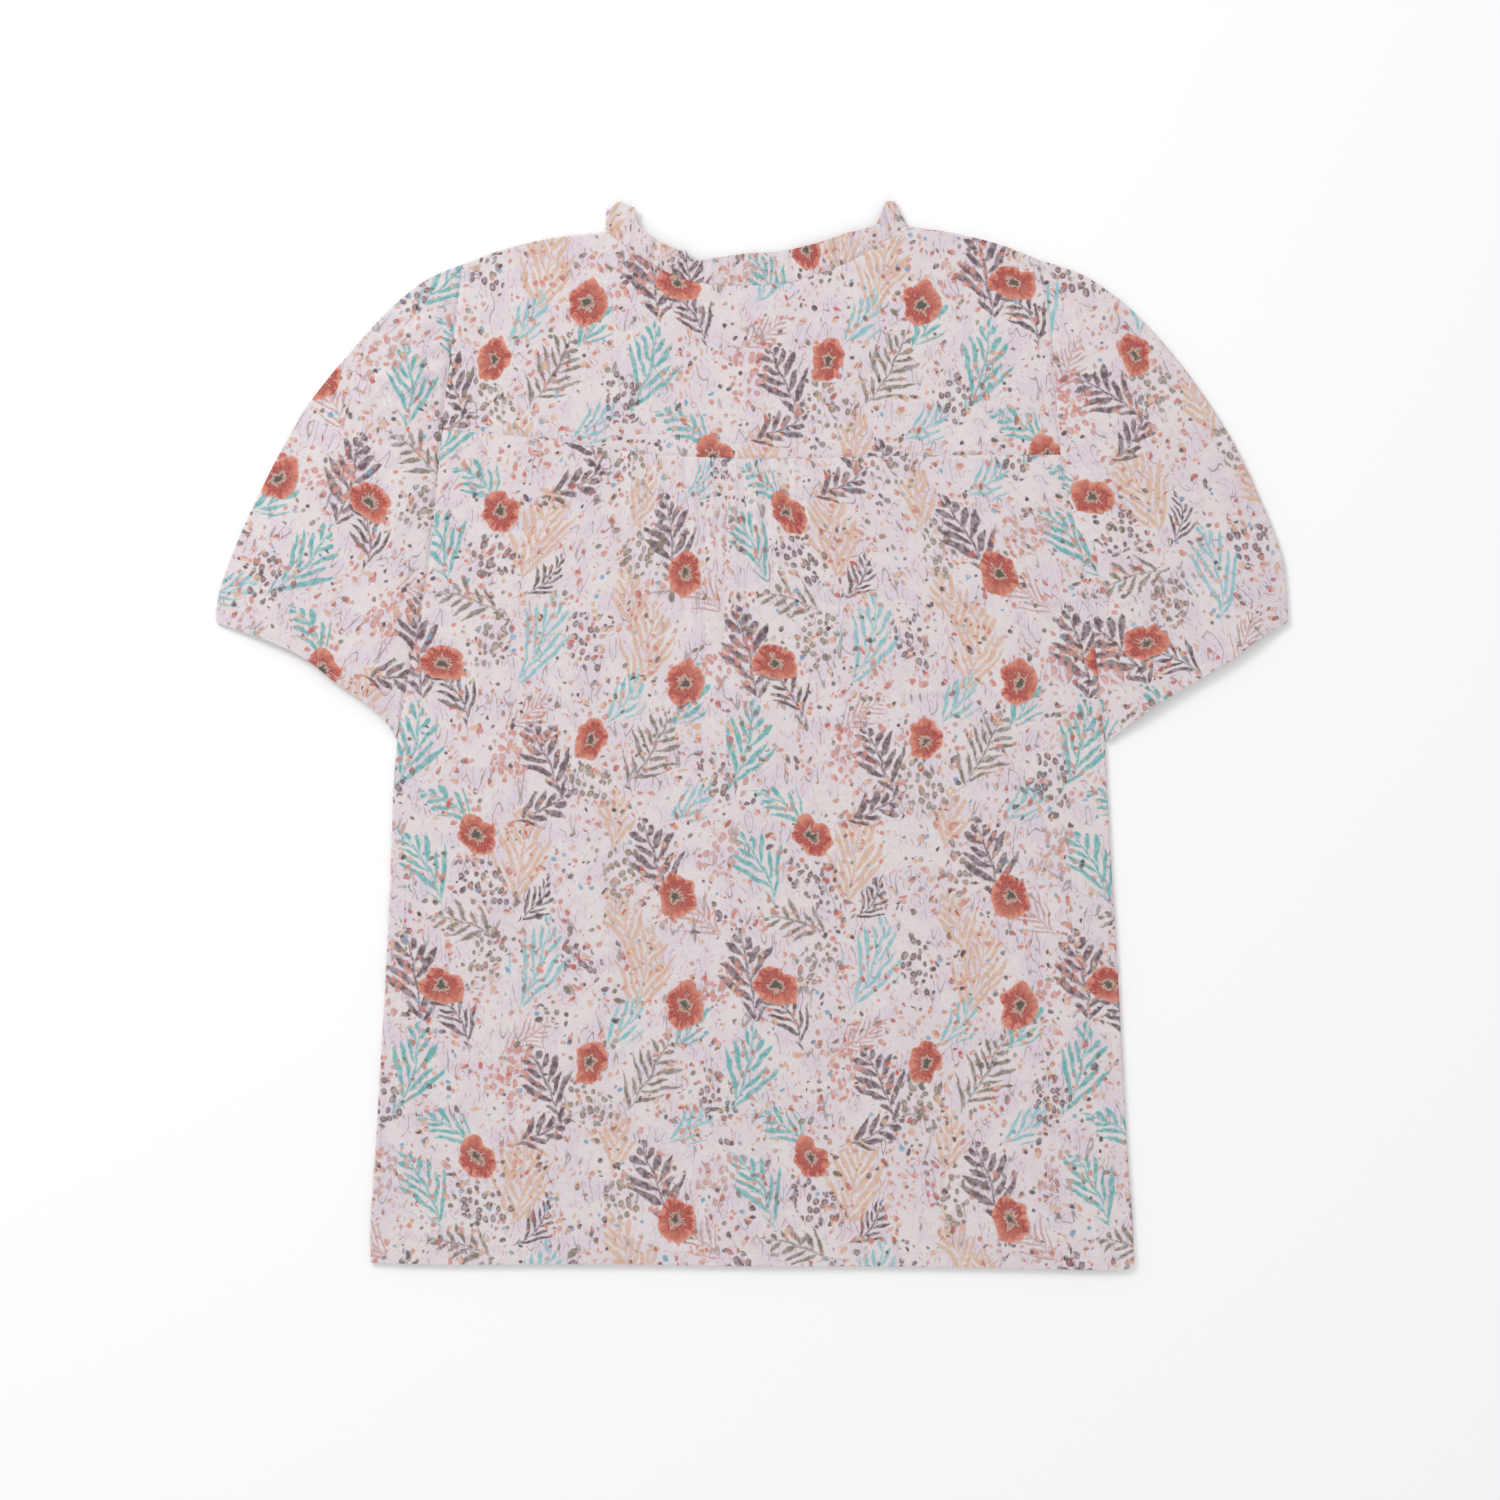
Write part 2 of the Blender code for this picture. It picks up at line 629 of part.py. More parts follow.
def make_neck_frill():
    back_seam, back_edge, back_shares = frill_run(BACK_NECK, BACK_FRILL_WAVES)
    front_seam, front_edge, front_shares = frill_run(FRONT_NECK, FRONT_FRILL_WAVES)
    out = np.linspace(0, 1, FRILL_ROWS + 1)[:, None]
    bend = np.linspace(0, math.pi, FOLD_STEPS + 2)[None, 1:-1]

    def between(seam, edge):
        return seam[None] + (edge - seam)[None] * out[..., None]

    back = between(back_seam, back_edge)
    growth = FRILL_SEAM_SHARE + (1 - FRILL_SEAM_SHARE) * out
    ends = between_ends(back_shares, FRILL_RAMP)
    lift = BACK_FRILL_LIFT + (TIP_LIFT - BACK_FRILL_LIFT) * (1 - ends)
    waves = BACK_FRILL_HEIGHT * growth * ends * gathers(back_shares, BACK_FRILL_WAVES)
    seam_height = upper_height(back_seam)[None]
    back = at_height(back, seam_height + lift[None] * out + waves)

    front = between(front_seam, front_edge)[:, ::-1]
    shares = front_shares[::-1]
    ends = between_ends(shares, FRILL_RAMP)
    ripple = (1 + gathers(shares, FRONT_FRILL_WAVES)) / 2
    front = at_height(front, LOWER_MID + FRONT_FRILL_HEIGHT * growth * ends * ripple)

    def hairpin(above, side):
        """The turn at a shoulder, from the upper run's end down to the lower one's."""
        radius = (above[:, 2:] - LOWER_MID) / 2
        x = above[:, :1] + side * radius * np.sin(bend)
        y = np.repeat(above[:, 1:2], FOLD_STEPS, axis=1)
        z = LOWER_MID + radius * (1 + np.cos(bend))
        return np.stack([x, y, z], axis=-1)

    right = hairpin(back[:, -1], 1)
    left = hairpin(back[:, 0], -1)[:, ::-1]
    ring = np.concatenate([back, right, front, left], axis=1)
    return cloth("neck_frill", ring, closed=True)


def clear_scene():
    for item in list(bpy.data.objects):
        bpy.data.objects.remove(item, do_unlink=True)


def main():
    clear_scene()
    make_front()
    make_back_yoke()
    make_back_body()
    for name, side in SIDES.items():
        make_sleeve("sleeve_" + name, side)
    make_neck_frill()


main()
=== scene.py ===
"""Finish of a short-sleeved blouse with a frilled neck, lying flat on its front.

Each cut piece is a thin cotton shell on its solid's form: the same outlines, folds and
gathers, sampled finely, with creases, seams, hems and stitching added. One material holds
the printed cotton: a meadow of poppies, sprigs and berries drawn by shader nodes on the
piece's own flat cloth coordinates.

Tables are in millimetres: x to the viewer's right, y towards the neck, z up. Properties
are in metres, as Blender shows them.
"""

import math
from collections import namedtuple
from functools import cache

import bpy
import numpy as np
from bpy.props import FloatProperty, FloatVectorProperty, IntProperty, PointerProperty
from bpy.types import Operator, Panel, PropertyGroup
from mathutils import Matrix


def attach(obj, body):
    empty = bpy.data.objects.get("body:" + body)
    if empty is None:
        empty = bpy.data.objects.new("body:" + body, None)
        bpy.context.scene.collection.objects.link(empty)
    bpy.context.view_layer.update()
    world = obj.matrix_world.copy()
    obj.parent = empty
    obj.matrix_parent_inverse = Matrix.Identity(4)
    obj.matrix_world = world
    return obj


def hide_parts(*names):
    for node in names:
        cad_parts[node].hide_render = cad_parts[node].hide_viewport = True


bl_info = {
    "name": "Frilled Blouse",
    "version": (1, 0, 0),
    "blender": (4, 5, 0),
    "location": "3D View > Sidebar > Blouse",
    "description": "Dresses the frame of a printed cotton blouse that lies flat",
    "category": "Add Mesh",
}

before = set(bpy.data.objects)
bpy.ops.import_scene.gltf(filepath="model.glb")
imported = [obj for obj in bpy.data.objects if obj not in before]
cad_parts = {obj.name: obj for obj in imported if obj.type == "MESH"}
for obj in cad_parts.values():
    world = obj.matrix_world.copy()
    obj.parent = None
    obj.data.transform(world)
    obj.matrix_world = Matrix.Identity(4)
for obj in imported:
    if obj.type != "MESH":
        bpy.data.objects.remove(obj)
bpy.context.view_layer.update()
BODY = "root"
MM = 0.001

# Moves the tables' shapes so that the blouse's box is centred on the origin.
CENTRING = (0.16, 0.05, 0.0)

# How the two layers lie: heights of the middle of the cloth.
LOWER_MID = 0.4
UPPER_MID = 3.0
LOWEST_UPPER_MID = 2.2
TURN_MID = (LOWER_MID + UPPER_MID) / 2  # where the layers meet at a turned edge
EDGE_ROUND = 1.2  # radius in plan where the cloth turns over at an edge
EDGE_OPENING = 0.05  # share of the half height left between the two layers' edges
SEAM_GAP = 0.04

# Soft height of the upper layer over the lower one.
BODY_LOFT = 0.5
SLEEVE_LOFT = 1.9
EDGE_RAMP = 34.0
ARMHOLE_RAMP = 30.0
NECK_DIP = 1.5
NECK_DIP_AT = (3.0, 310.0)
NECK_DIP_SPREAD = (42.0, 32.0)

# Outlines of one side of the blouse, both sides in a row: x and y of the left and right.
Pair = namedtuple("Pair", "left_x left_y right_x right_y")
SLEEVE_FOLD = (  # from the shoulder to the corner of the cuff
    Pair(-191.1, 310.4, 189.8, 313.0),
    Pair(-213.5, 301.0, 215.5, 304.4),
    Pair(-236.8, 283.0, 238.8, 289.7),
    Pair(-262.8, 255.2, 261.2, 268.9),
    Pair(-295.2, 214.5, 289.0, 235.5),
    Pair(-323.4, 162.5, 315.8, 194.5),
    Pair(-343.6, 117.5, 334.8, 154.5),
    Pair(-352.2, 91.0, 349.6, 115.0),
    Pair(-353.3, 74.5, 352.9, 74.9),
)
CUFF = (  # from that corner to the underarm
    Pair(-353.3, 74.5, 352.9, 74.9),
    Pair(-319.8, 62.6, 332.3, 62.2),
    Pair(-294.7, 50.5, 314.5, 49.2),
    Pair(-276.9, 36.6, 293.4, 36.6),
    Pair(-257.7, 23.4, 271.6, 23.4),
    Pair(-242.6, 10.2, 252.5, 10.2),
    Pair(-235.2, -1.7, 233.6, -4.0),
)
ARMHOLE = (  # from the shoulder to the underarm
    Pair(-191.1, 310.4, 189.8, 313.0),
    Pair(-195.7, 274.2, 196.2, 272.0),
    Pair(-201.2, 234.6, 198.8, 234.0),
    Pair(-205.4, 195.0, 201.8, 195.0),
    Pair(-208.9, 155.4, 208.4, 157.0),
    Pair(-213.4, 112.5, 217.6, 118.0),
    Pair(-220.6, 72.9, 223.6, 76.2),
    Pair(-227.6, 36.6, 227.6, 42.0),
    Pair(-233.0, 7.0, 231.4, 5.0),
)
SIDE_SEAM = (  # from the underarm to the hem
    Pair(-233.0, 7.0, 231.4, 5.0),
    Pair(-236.4, -35.0, 233.6, -35.0),
    Pair(-238.3, -90.0, 236.6, -90.0),
    Pair(-240.9, -145.0, 240.0, -145.0),
    Pair(-244.4, -208.0, 243.2, -208.0),
    Pair(-248.4, -273.0, 246.8, -273.0),
    Pair(-251.4, -318.0, 250.2, -318.0),
    Pair(-251.6, -347.3, 251.4, -347.8),
)

Point = namedtuple("Point", "x y")
HEM = (
    Point(-251.6, -347.3),
    Point(-200.0, -348.6),
    Point(-100.0, -348.4),
    Point(0.0, -349.6),
    Point(100.0, -349.8),
    Point(190.0, -351.4),
    Point(238.0, -352.4),
    Point(248.5, -351.0),
    Point(251.4, -347.8),
)
SHOULDER_LEFT = (Point(-95.0, 331.4), Point(-128.0, 328.3), Point(-162.0, 320.9))
SHOULDER_RIGHT = (Point(100.4, 335.6), Point(130.0, 331.4), Point(162.0, 323.8))
YOKE_SEAM_ENDS = Point(201.6, 185.1)  # heights of its left and its right end
YOKE_SEAM = (
    Point(-172.0, 198.8),
    Point(-138.9, 195.6),
    Point(-104.0, 190.2),
    Point(-62.0, 185.4),
    Point(-22.8, 183.2),
    Point(20.0, 182.6),
    Point(64.4, 183.6),
    Point(130.0, 184.8),
)

# The neck: where the frill is sewn on, and where its free edge lies.
Neck = namedtuple("Neck", "seam_x seam_y edge_x edge_y")
BACK_NECK = (
    Neck(-95.0, 331.4, -94.0, 346.5),
    Neck(-91.4, 328.4, -87.4, 351.6),
    Neck(-88.4, 326.1, -81.6, 348.9),
    Neck(-85.6, 324.1, -77.2, 346.9),
    Neck(-82.4, 321.9, -77.2, 341.0),
    Neck(-78.2, 319.1, -74.0, 335.0),
    Neck(-67.7, 312.0, -63.4, 326.6),
    Neck(-55.5, 305.0, -50.2, 320.4),
    Neck(-47.0, 301.8, -44.0, 319.4),
    Neck(-43.6, 300.6, -41.4, 315.0),
    Neck(-40.2, 299.5, -37.4, 312.8),
    Neck(-24.8, 297.2, -25.2, 314.4),
    Neck(-5.0, 296.6, -5.0, 317.6),
    Neck(14.9, 297.8, 14.9, 318.6),
    Neck(31.4, 300.6, 30.4, 321.4),
    Neck(47.9, 305.9, 46.6, 325.6),
    Neck(64.4, 312.5, 61.8, 331.0),
    Neck(76.6, 319.4, 73.0, 333.6),
    Neck(86.0, 325.6, 81.8, 337.6),
    Neck(94.0, 331.0, 87.4, 350.6),
    Neck(100.4, 335.6, 91.0, 352.0),
)
FRONT_NECK = (
    Neck(-95.0, 331.4, -94.0, 346.5),
    Neck(-92.6, 317.0, -84.4, 333.0),
    Neck(-87.0, 299.5, -71.4, 313.0),
    Neck(-76.0, 280.0, -61.5, 295.0),
    Neck(-57.5, 261.5, -46.5, 279.0),
    Neck(-31.0, 246.0, -25.5, 266.5),
    Neck(3.0, 240.5, 3.0, 261.8),
    Neck(36.5, 246.0, 31.0, 266.5),
    Neck(63.0, 262.0, 52.0, 279.5),
    Neck(82.0, 281.5, 67.0, 296.5),
    Neck(93.0, 302.0, 77.0, 315.5),
    Neck(98.4, 319.0, 87.0, 335.0),
    Neck(100.4, 335.6, 91.0, 352.0),
)

# The frill's left run, which is folded over towards the viewer: where it begins and ends
# as shares of the back neck, its end at the seam and at the free edge, and its height.
FLAP_START = 0.02
FLAP_END_AT_SEAM = 0.228
FLAP_END_AT_EDGE = 0.290
FLAP_HEIGHT = 1.1
FLAP_RISE = 0.05  # over which share of the neck its height comes, and below goes
FLAP_FALL = 0.004

# The frill's strip: its height as it lies.
FRILL_HEIGHT = 20.0
# How high its free edge stands over its seam along the back neck and at the shoulders' tips.
FRILL_LIFT = 1.1
FRILL_TIP_LIFT = 2.2
# Its waves run out at the tips and are low in the middle of the back neck.
FRILL_END_FADE = 18
FRILL_CALM = 0.4
FRILL_CALM_REACH = 0.35
HIDDEN_FRILL_RISE = 0.3  # of the waves along the front neck
# How finely it is sampled: rows, steps of one wave, and steps of the turn at a tip.
FRILL_ROWS = 15
BACK_WAVE_STEPS = 22
FRONT_WAVE_STEPS = 8
TIP_STEPS = 8

# Folds and creases of the upper layer. Turn is degrees clockwise from straight up.
Fold = namedtuple("Fold", "x y turn length width height")
SOFT_FOLDS = (
    Fold(-168, 20, 3, 300, 20, 0.8),
    Fold(-112, -70, -2, 420, 17, 0.9),
    Fold(-58, -120, 2, 360, 15, -0.6),
    Fold(-8, -90, 0, 430, 18, 0.8),
    Fold(52, -60, -3, 460, 16, -0.6),
    Fold(104, -110, -2, 380, 19, 0.9),
    Fold(172, 0, -4, 340, 18, 0.8),
    Fold(205, -230, -8, 190, 14, -0.6),
    Fold(-205, -240, 8, 180, 15, -0.6),
    Fold(-120, 262, 62, 130, 13, 0.6),
    Fold(128, 262, -58, 130, 13, 0.6),
    Fold(-284, 150, 24, 150, 13, 0.5),
    Fold(-306, 118, 30, 120, 10, -0.5),
    Fold(-256, 120, 14, 150, 11, -0.5),
    Fold(282, 150, -26, 150, 13, 0.5),
    Fold(304, 122, -32, 120, 10, -0.5),
    Fold(254, 122, -15, 150, 11, -0.5),
)
CREASES = (
    # Fine ones that run down from the gathered seam.
    Fold(-82, 150, 3, 66, 2.4, 0.30),
    Fold(-71, 138, 2, 92, 2.0, -0.36),
    Fold(-63, 152, 1, 60, 1.8, 0.36),
    Fold(-54, 120, 3, 128, 2.2, -0.44),
    Fold(-46, 148, -1, 70, 1.8, 0.38),
    Fold(-38, 116, 1, 140, 2.2, 0.48),
    Fold(-31, 108, 0, 156, 1.9, -0.60),
    Fold(-25, 122, -1, 124, 1.6, 0.56),
    Fold(-18, 98, 1, 172, 1.9, -0.76),
    Fold(-11, 128, 0, 112, 1.7, 0.58),
    Fold(-4, 104, -1, 160, 2.0, -0.54),
    Fold(3, 118, 0, 136, 1.7, 0.48),
    Fold(9, 140, -2, 88, 2.0, -0.40),
    Fold(17, 120, -2, 126, 2.2, 0.40),
    Fold(26, 146, -3, 74, 2.0, -0.32),
    Fold(36, 140, -3, 86, 2.4, 0.28),
    # Across the yoke, from the neck and the shoulders.
    Fold(-96, 296, 24, 56, 3.2, 0.26),
    Fold(-78, 288, 14, 62, 2.6, -0.24),
    Fold(-52, 280, 6, 44, 3.0, 0.20),
    Fold(70, 296, -14, 52, 3.0, 0.22),
    Fold(96, 300, -26, 54, 2.8, -0.22),
    Fold(148, 244, 8, 90, 4.5, 0.24),
    Fold(-156, 246, -6, 84, 4.2, -0.22),
    # Pulls towards the underarms and soft breaks lower down.
    Fold(-200, 88, -34, 78, 4.0, 0.34),
    Fold(-188, 62, -44, 86, 3.6, -0.28),
    Fold(198, 92, 36, 82, 4.2, 0.32),
    Fold(186, 58, 46, 76, 3.4, -0.28),
    Fold(-140, -40, 8, 150, 5.0, 0.26),
    Fold(-84, -180, -6, 170, 5.4, -0.26),
    Fold(-24, -214, 4, 140, 4.6, 0.26),
    Fold(76, -196, 6, 180, 5.6, -0.26),
    Fold(138, -70, -5, 170, 5.0, 0.24),
    Fold(190, -150, -8, 120, 4.6, -0.24),
    # Sleeve heads, away from the armhole seam.
    Fold(-216, 272, 58, 46, 3.4, 0.55),
    Fold(-222, 256, 66, 54, 3.0, -0.50),
    Fold(-226, 240, 74, 60, 3.6, 0.60),
    Fold(-230, 222, 80, 66, 3.2, -0.52),
    Fold(-232, 206, 88, 58, 3.8, 0.50),
    Fold(-238, 180, 98, 64, 4.0, -0.36),
    Fold(-224, 149, 126, 40, 3.0, -0.40),
    Fold(-228, 116, 99, 44, 2.6, 0.42),
    Fold(217, 276, -56, 44, 3.2, 0.52),
    Fold(222, 261, -62, 52, 3.0, -0.48),
    Fold(226, 246, -70, 62, 3.6, 0.58),
    Fold(229, 229, -77, 64, 3.2, -0.52),
    Fold(231, 212, -86, 60, 3.8, 0.50),
    Fold(236, 188, -96, 66, 4.2, -0.38),
    Fold(228, 150, -118, 40, 3.2, 0.36),
    Fold(234, 112, -98, 44, 3.0, -0.34),
    # Sleeve ends, up from the cuffs.
    Fold(-312, 92, 22, 58, 4.0, 0.40),
    Fold(-286, 78, 27, 62, 3.6, -0.36),
    Fold(-262, 58, 30, 56, 3.4, 0.36),
    Fold(316, 96, -24, 60, 4.2, 0.38),
    Fold(290, 76, -32, 62, 3.6, -0.36),
    Fold(266, 56, -35, 54, 3.4, 0.34),
)

SEAM_CREASES = 16  # the first of them, which run down from the gathered seam
CREASE_FADE = 9.0  # width along a turned edge in which creases run out

# Where the cloth is gathered: x along the yoke seam, and shares along a sleeve head.
YOKE_GATHERS = (-108.0, 62.0)
HEAD_GATHERS = (0.02, 0.46)
HEAD_GATHER_REACH = 0.5  # share of the sleeve's length
YOKE_FULLNESS = 8.0  # how much of the print the low gathers hide, in all
CREASE_FULLNESS = 3.0  # how much each crease hides, times its height

# Gathered cloth draws its seam in: times the depth of the yoke seam.
ARMHOLE_PULL = (4.2, 1.5)  # left and right
NECK_PULL = 1.9
SEAM_REACH = 1.5  # how far from a seam the cloth begins to dip
SLEEVE_HEAD_REACH = 2.4

# The cloth folded back under a seam lifts the upper cloth in a low ridge: its height, and
# the widths over which it rises from the seam and comes down again.
RIDGE_HEIGHT = 0.22
RIDGE_RISE = 2.2
RIDGE_FALL = 1.6

# A hem comes down over a short step, and its row of stitches draws it in.
HEM_STEP = 0.9
HEM_STITCHES_IN = 1.3  # from the upper edge of the hem
HEM_STITCH_DIP = 0.16
HEM_STITCH_SPREAD = 0.7
FRONT_HEM_SHARE = 0.5  # of a hem's height that shows on the layer that lies underneath

# The low unevenness of the cloth is a sum of waves, turned by the golden angle from one to
# the next so that no direction stands out.
CRINKLE_WAVES = 18
CRINKLE_LENGTHS = (9.0, 56.0)
GOLDEN_ANGLE = 2.399963
GOLDEN_SHARE = 0.618034
LOWER_CRINKLE = 0.4  # how much of it the lower layer has

# Where the underarm lies, as a share of a panel's side edge, and the shares over which a
# seam becomes a turned edge there and at the neck's corners.
FRONT_UNDERARM = 0.47
BACK_UNDERARM = 0.36
UNDERARM_BLEND = 0.006
CORNER_BLEND = 0.008

# How finely the pieces are sampled: the length of a run of points and their step.
Run = namedtuple("Run", "length step")
FRONT_ROWS = Run(690.0, 6.0)
FRONT_COLUMN_STEP = 4.2
YOKE_ROWS = Run(125.0, 1.9)
ABOVE_UNDERARM = Run(195.0, 2.6)
BELOW_UNDERARM = Run(350.0, 6.5)
PLAIN_COLUMN_STEP = 4.0
GATHERED_COLUMNS = 190  # across the gathered stretch of the panel
SLEEVE_ROWS = Run(170.0, 2.1)
SLEEVE_UPPER = Run(250.0, 1.9)
SLEEVE_LOWER = Run(250.0, 5.0)

# Where each piece is cut out of the printed cloth, and how far a sleeve's grain is turned.
CUT_AT = {
    "front": (31.0, 12.0),
    "back_yoke": (64.0, -37.0),
    "sleeve_left": (90.0, 25.0),
    "sleeve_right": (-15.0, 140.0),
    "neck_frill": (75.0, 130.0),
}
SLEEVE_GRAIN = {-1: 27.0, 1: -33.5}

SIDES = {"left": -1, "right": 1}

SMOOTH_ANGLE = 55  # degrees between faces that shade as one surface

# The studio, in metres. The camera stands over the middle of the picture.
LAMP_AT = (-1.5, 1.5, 1.7)
LAMP_SIZE = 1.1
CAMERA_AT = (-0.00149, -0.00952)
FLOOR_GREY = 0.93


class ClothSizes(PropertyGroup):
    thickness: FloatProperty(
        name="Thickness", description="Of the cotton, a little plump so that its edges show",
        default=0.0006, min=0.0002, max=0.0011, unit="LENGTH")
    frill_thickness: FloatProperty(
        name="Frill thickness", description="Of the single cloth of the frill",
        default=0.0005, min=0.0002, max=0.001, unit="LENGTH")
    seam_depth: FloatProperty(
        name="Seam depth", description="How far the cloth dips into a seam",
        default=0.00034, min=0.0, max=0.001, unit="LENGTH")
    seam_allowance: FloatProperty(
        name="Seam allowance", description="Width of the cloth folded back under a seam",
        default=0.009, min=0.004, max=0.015, unit="LENGTH")
    body_hem: FloatProperty(
        name="Body hem", description="Height of the turned-up lower hem",
        default=0.010, min=0.004, max=0.03, unit="LENGTH")
    cuff_hem: FloatProperty(
        name="Cuff hem", description="Height of the turned-up hem of a sleeve",
        default=0.0053, min=0.003, max=0.02, unit="LENGTH")
    hem_rise: FloatProperty(
        name="Hem rise", description="How much higher the double cloth of a hem stands",
        default=0.0004, min=0.0, max=0.001, unit="LENGTH")
    crinkle: FloatProperty(
        name="Crinkle", description="Height of the low unevenness all over the cloth",
        default=0.00010, min=0.0, max=0.0004, unit="LENGTH")


class GatherSizes(PropertyGroup):
    back_count: IntProperty(
        name="Back gathers", description="Main gathers under the yoke seam", default=13)
    back_height: FloatProperty(
        name="Back gather height", description="Of the main gathers at the yoke seam",
        default=0.00042, unit="LENGTH")
    back_length: FloatProperty(
        name="Back gather length", description="Over which the gathers run out",
        default=0.165, unit="LENGTH")
    head_count: IntProperty(
        name="Sleeve head gathers", description="Gathers at the head of a sleeve", default=9)
    head_height: FloatProperty(
        name="Sleeve gather height", description="Of the gathers at the armhole seam",
        default=0.0007, unit="LENGTH")


class FrillSizes(PropertyGroup):
    back_waves: IntProperty(
        name="Back waves", description="Gathers of the frill along the back neck", default=17)
    front_waves: IntProperty(
        name="Front waves", description="Gathers along the hidden front neck", default=15)
    back_height: FloatProperty(
        name="Wave height", description="Of the back waves at the free edge",
        default=0.0014, unit="LENGTH")
    fullness: FloatProperty(
        name="Fullness", description="Length of the strip over the length of the seam",
        default=1.3, min=1.0, max=2.0)


class StitchSizes(PropertyGroup):
    length: FloatProperty(
        name="Length", description="Of one stitch", default=0.0021, unit="LENGTH")
    pitch: FloatProperty(
        name="Pitch", description="From one stitch to the next", default=0.0027, unit="LENGTH")
    width: FloatProperty(
        name="Width", description="Of the sewing thread", default=0.0004, unit="LENGTH")


def ink(name, description, red, green, blue):
    """A colour property, given as it is seen on a screen."""
    seen = [channel / 255 for channel in (red, green, blue)]
    linear = [c / 12.92 if c <= 0.04045 else ((c + 0.055) / 1.055) ** 2.4 for c in seen]
    return FloatVectorProperty(
        name=name, description=description, default=(*linear, 1.0), size=4,
        subtype="COLOR", min=0.0, max=1.0)


class PrintColours(PropertyGroup):
    ground: ink("Ground", "The cloth's pale pink ground", 212, 203, 207)
    lilac: ink("Lilac", "Washes of lilac on the ground", 208, 197, 211)
    mist: ink("Mist", "Washes of greyish white on the ground", 215, 208, 209)
    poppy: ink("Poppy", "Petals", 184, 102, 94)
    poppy_dark: ink("Poppy shade", "Shade in the petals", 150, 76, 72)
    poppy_light: ink("Poppy light", "Where the petals turn pale", 204, 138, 118)
    stamen: ink("Stamen ring", "The pale ring in a poppy", 192, 158, 146)
    pistil: ink("Poppy heart", "The dark heart of a poppy", 92, 90, 82)
    teal: ink("Teal", "Long leaves", 96, 166, 166)
    teal_light: ink("Light teal", "Thinner leaves", 128, 182, 188)
    plum: ink("Plum", "Leaves and berries", 103, 83, 91)
    twig: ink("Twig", "Dark brown twigs", 93, 79, 81)
    olive: ink("Olive", "Seed heads and stalks", 126, 117, 104)
    peach: ink("Peach", "Soft sprays of petals", 206, 172, 150)
    coral: ink("Coral", "Small petals and buds", 194, 134, 127)
    blush: ink("Blush", "Fine specks and washes", 212, 186, 184)
    rose: ink("Rose", "Pencil strokes", 186, 150, 146)
    blue: ink("Blue", "A few small dots", 122, 158, 184)


class PrintSizes(PropertyGroup):
    repeat_width: FloatProperty(
        name="Repeat width", description="Of the print, across the cloth",
        default=0.220, unit="LENGTH")
    repeat_height: FloatProperty(
        name="Repeat height", description="Of the print, along the cloth",
        default=0.213, unit="LENGTH")
    wobble: FloatProperty(
        name="Wobble", description="How far a drawn line strays, as by hand",
        default=0.0007, unit="LENGTH")


class StudioSizes(PropertyGroup):
    camera_height: FloatProperty(
        name="Camera height", description="Above the floor", default=2.3375, unit="LENGTH")
    lens: FloatProperty(
        name="Lens", description="Focal length in millimetres", default=85.0)
    floor: FloatProperty(
        name="Floor", description="Width of the pale floor", default=12.0, unit="LENGTH")
    lamp_power: FloatProperty(
        name="Lamp power", description="Of the soft lamp above the left shoulder",
        default=28.0, unit="POWER")
    fill: FloatProperty(
        name="Fill", description="Brightness of the pale surroundings", default=0.835)


GROUPS = {
    "blouse_cloth": ClothSizes,
    "blouse_gathers": GatherSizes,
    "blouse_frill": FrillSizes,
    "blouse_stitches": StitchSizes,
    "blouse_colours": PrintColours,
    "blouse_print": PrintSizes,
    "blouse_studio": StudioSizes,
}


# ---------------------------------------------------------------- curves and surfaces


class Curve:
    """A smooth curve through a few points, read by the share of its length in x and y."""

    SPAN_STEPS = 16

    def __init__(self, points):
        points = np.array(points, float)
        first = 2 * points[0] - points[1]
        last = 2 * points[-1] - points[-2]
        run = np.vstack([first, points, last])
        t = np.linspace(0, 1, self.SPAN_STEPS, endpoint=False)[:, None]
        spans = []
        for a, b, c, d in zip(run[:-3], run[1:-2], run[2:-1], run[3:]):
            bend = (2 * a - 5 * b + 4 * c - d) * t**2 + (3 * b - a - 3 * c + d) * t**3
            spans.append((2 * b + (c - a) * t + bend) / 2)
        self.points = np.vstack(spans + [points[-1:]])
        steps = np.hypot(*np.diff(self.points[:, :2], axis=0).T)
        self.lengths = np.concatenate([[0], np.cumsum(steps)])
        self.shares = self.lengths / self.lengths[-1]

    def at(self, shares):
        shares = np.clip(shares, 0, 1)
        columns = [np.interp(shares, self.shares, column) for column in self.points.T]
        return np.stack(columns, axis=-1)

    def share_at_height(self, y):
        return float(np.interp(-y, -self.points[:, 1], self.shares))

    def part(self, first, last):
        """The stretch between two shares, as a curve of its own through fewer points."""
        return Curve(self.at(np.linspace(first, last, len(self.points) // 8 + 4)))


class Joined:
    """Curves end to end, each taking a stated share, so that corners fall at those shares."""

    def __init__(self, curves, corners):
        self.curves = curves
        self.knots = np.concatenate([[0], corners, [1]])

    def at(self, shares):
        shares = np.clip(shares, 0, 1)
        result = self.curves[0].at(shares * 0)
        for curve, first, last in zip(self.curves, self.knots, self.knots[1:]):
            inside = (shares >= first) & (shares <= last)
            own = curve.at((shares - first) / (last - first))
            result = np.where(inside[..., None], own, result)
        return result


def side_curve(table, side):
    """The left (-1) or the right (1) outline of a table of pairs."""
    first = 0 if side < 0 else 2
    return Curve([row[first : first + 2] for row in table])


def smooth(t):
    """0 below 0 and 1 above 1, with a soft rise between."""
    t = np.clip(t, 0, 1)
    return t * t * (3 - 2 * t)


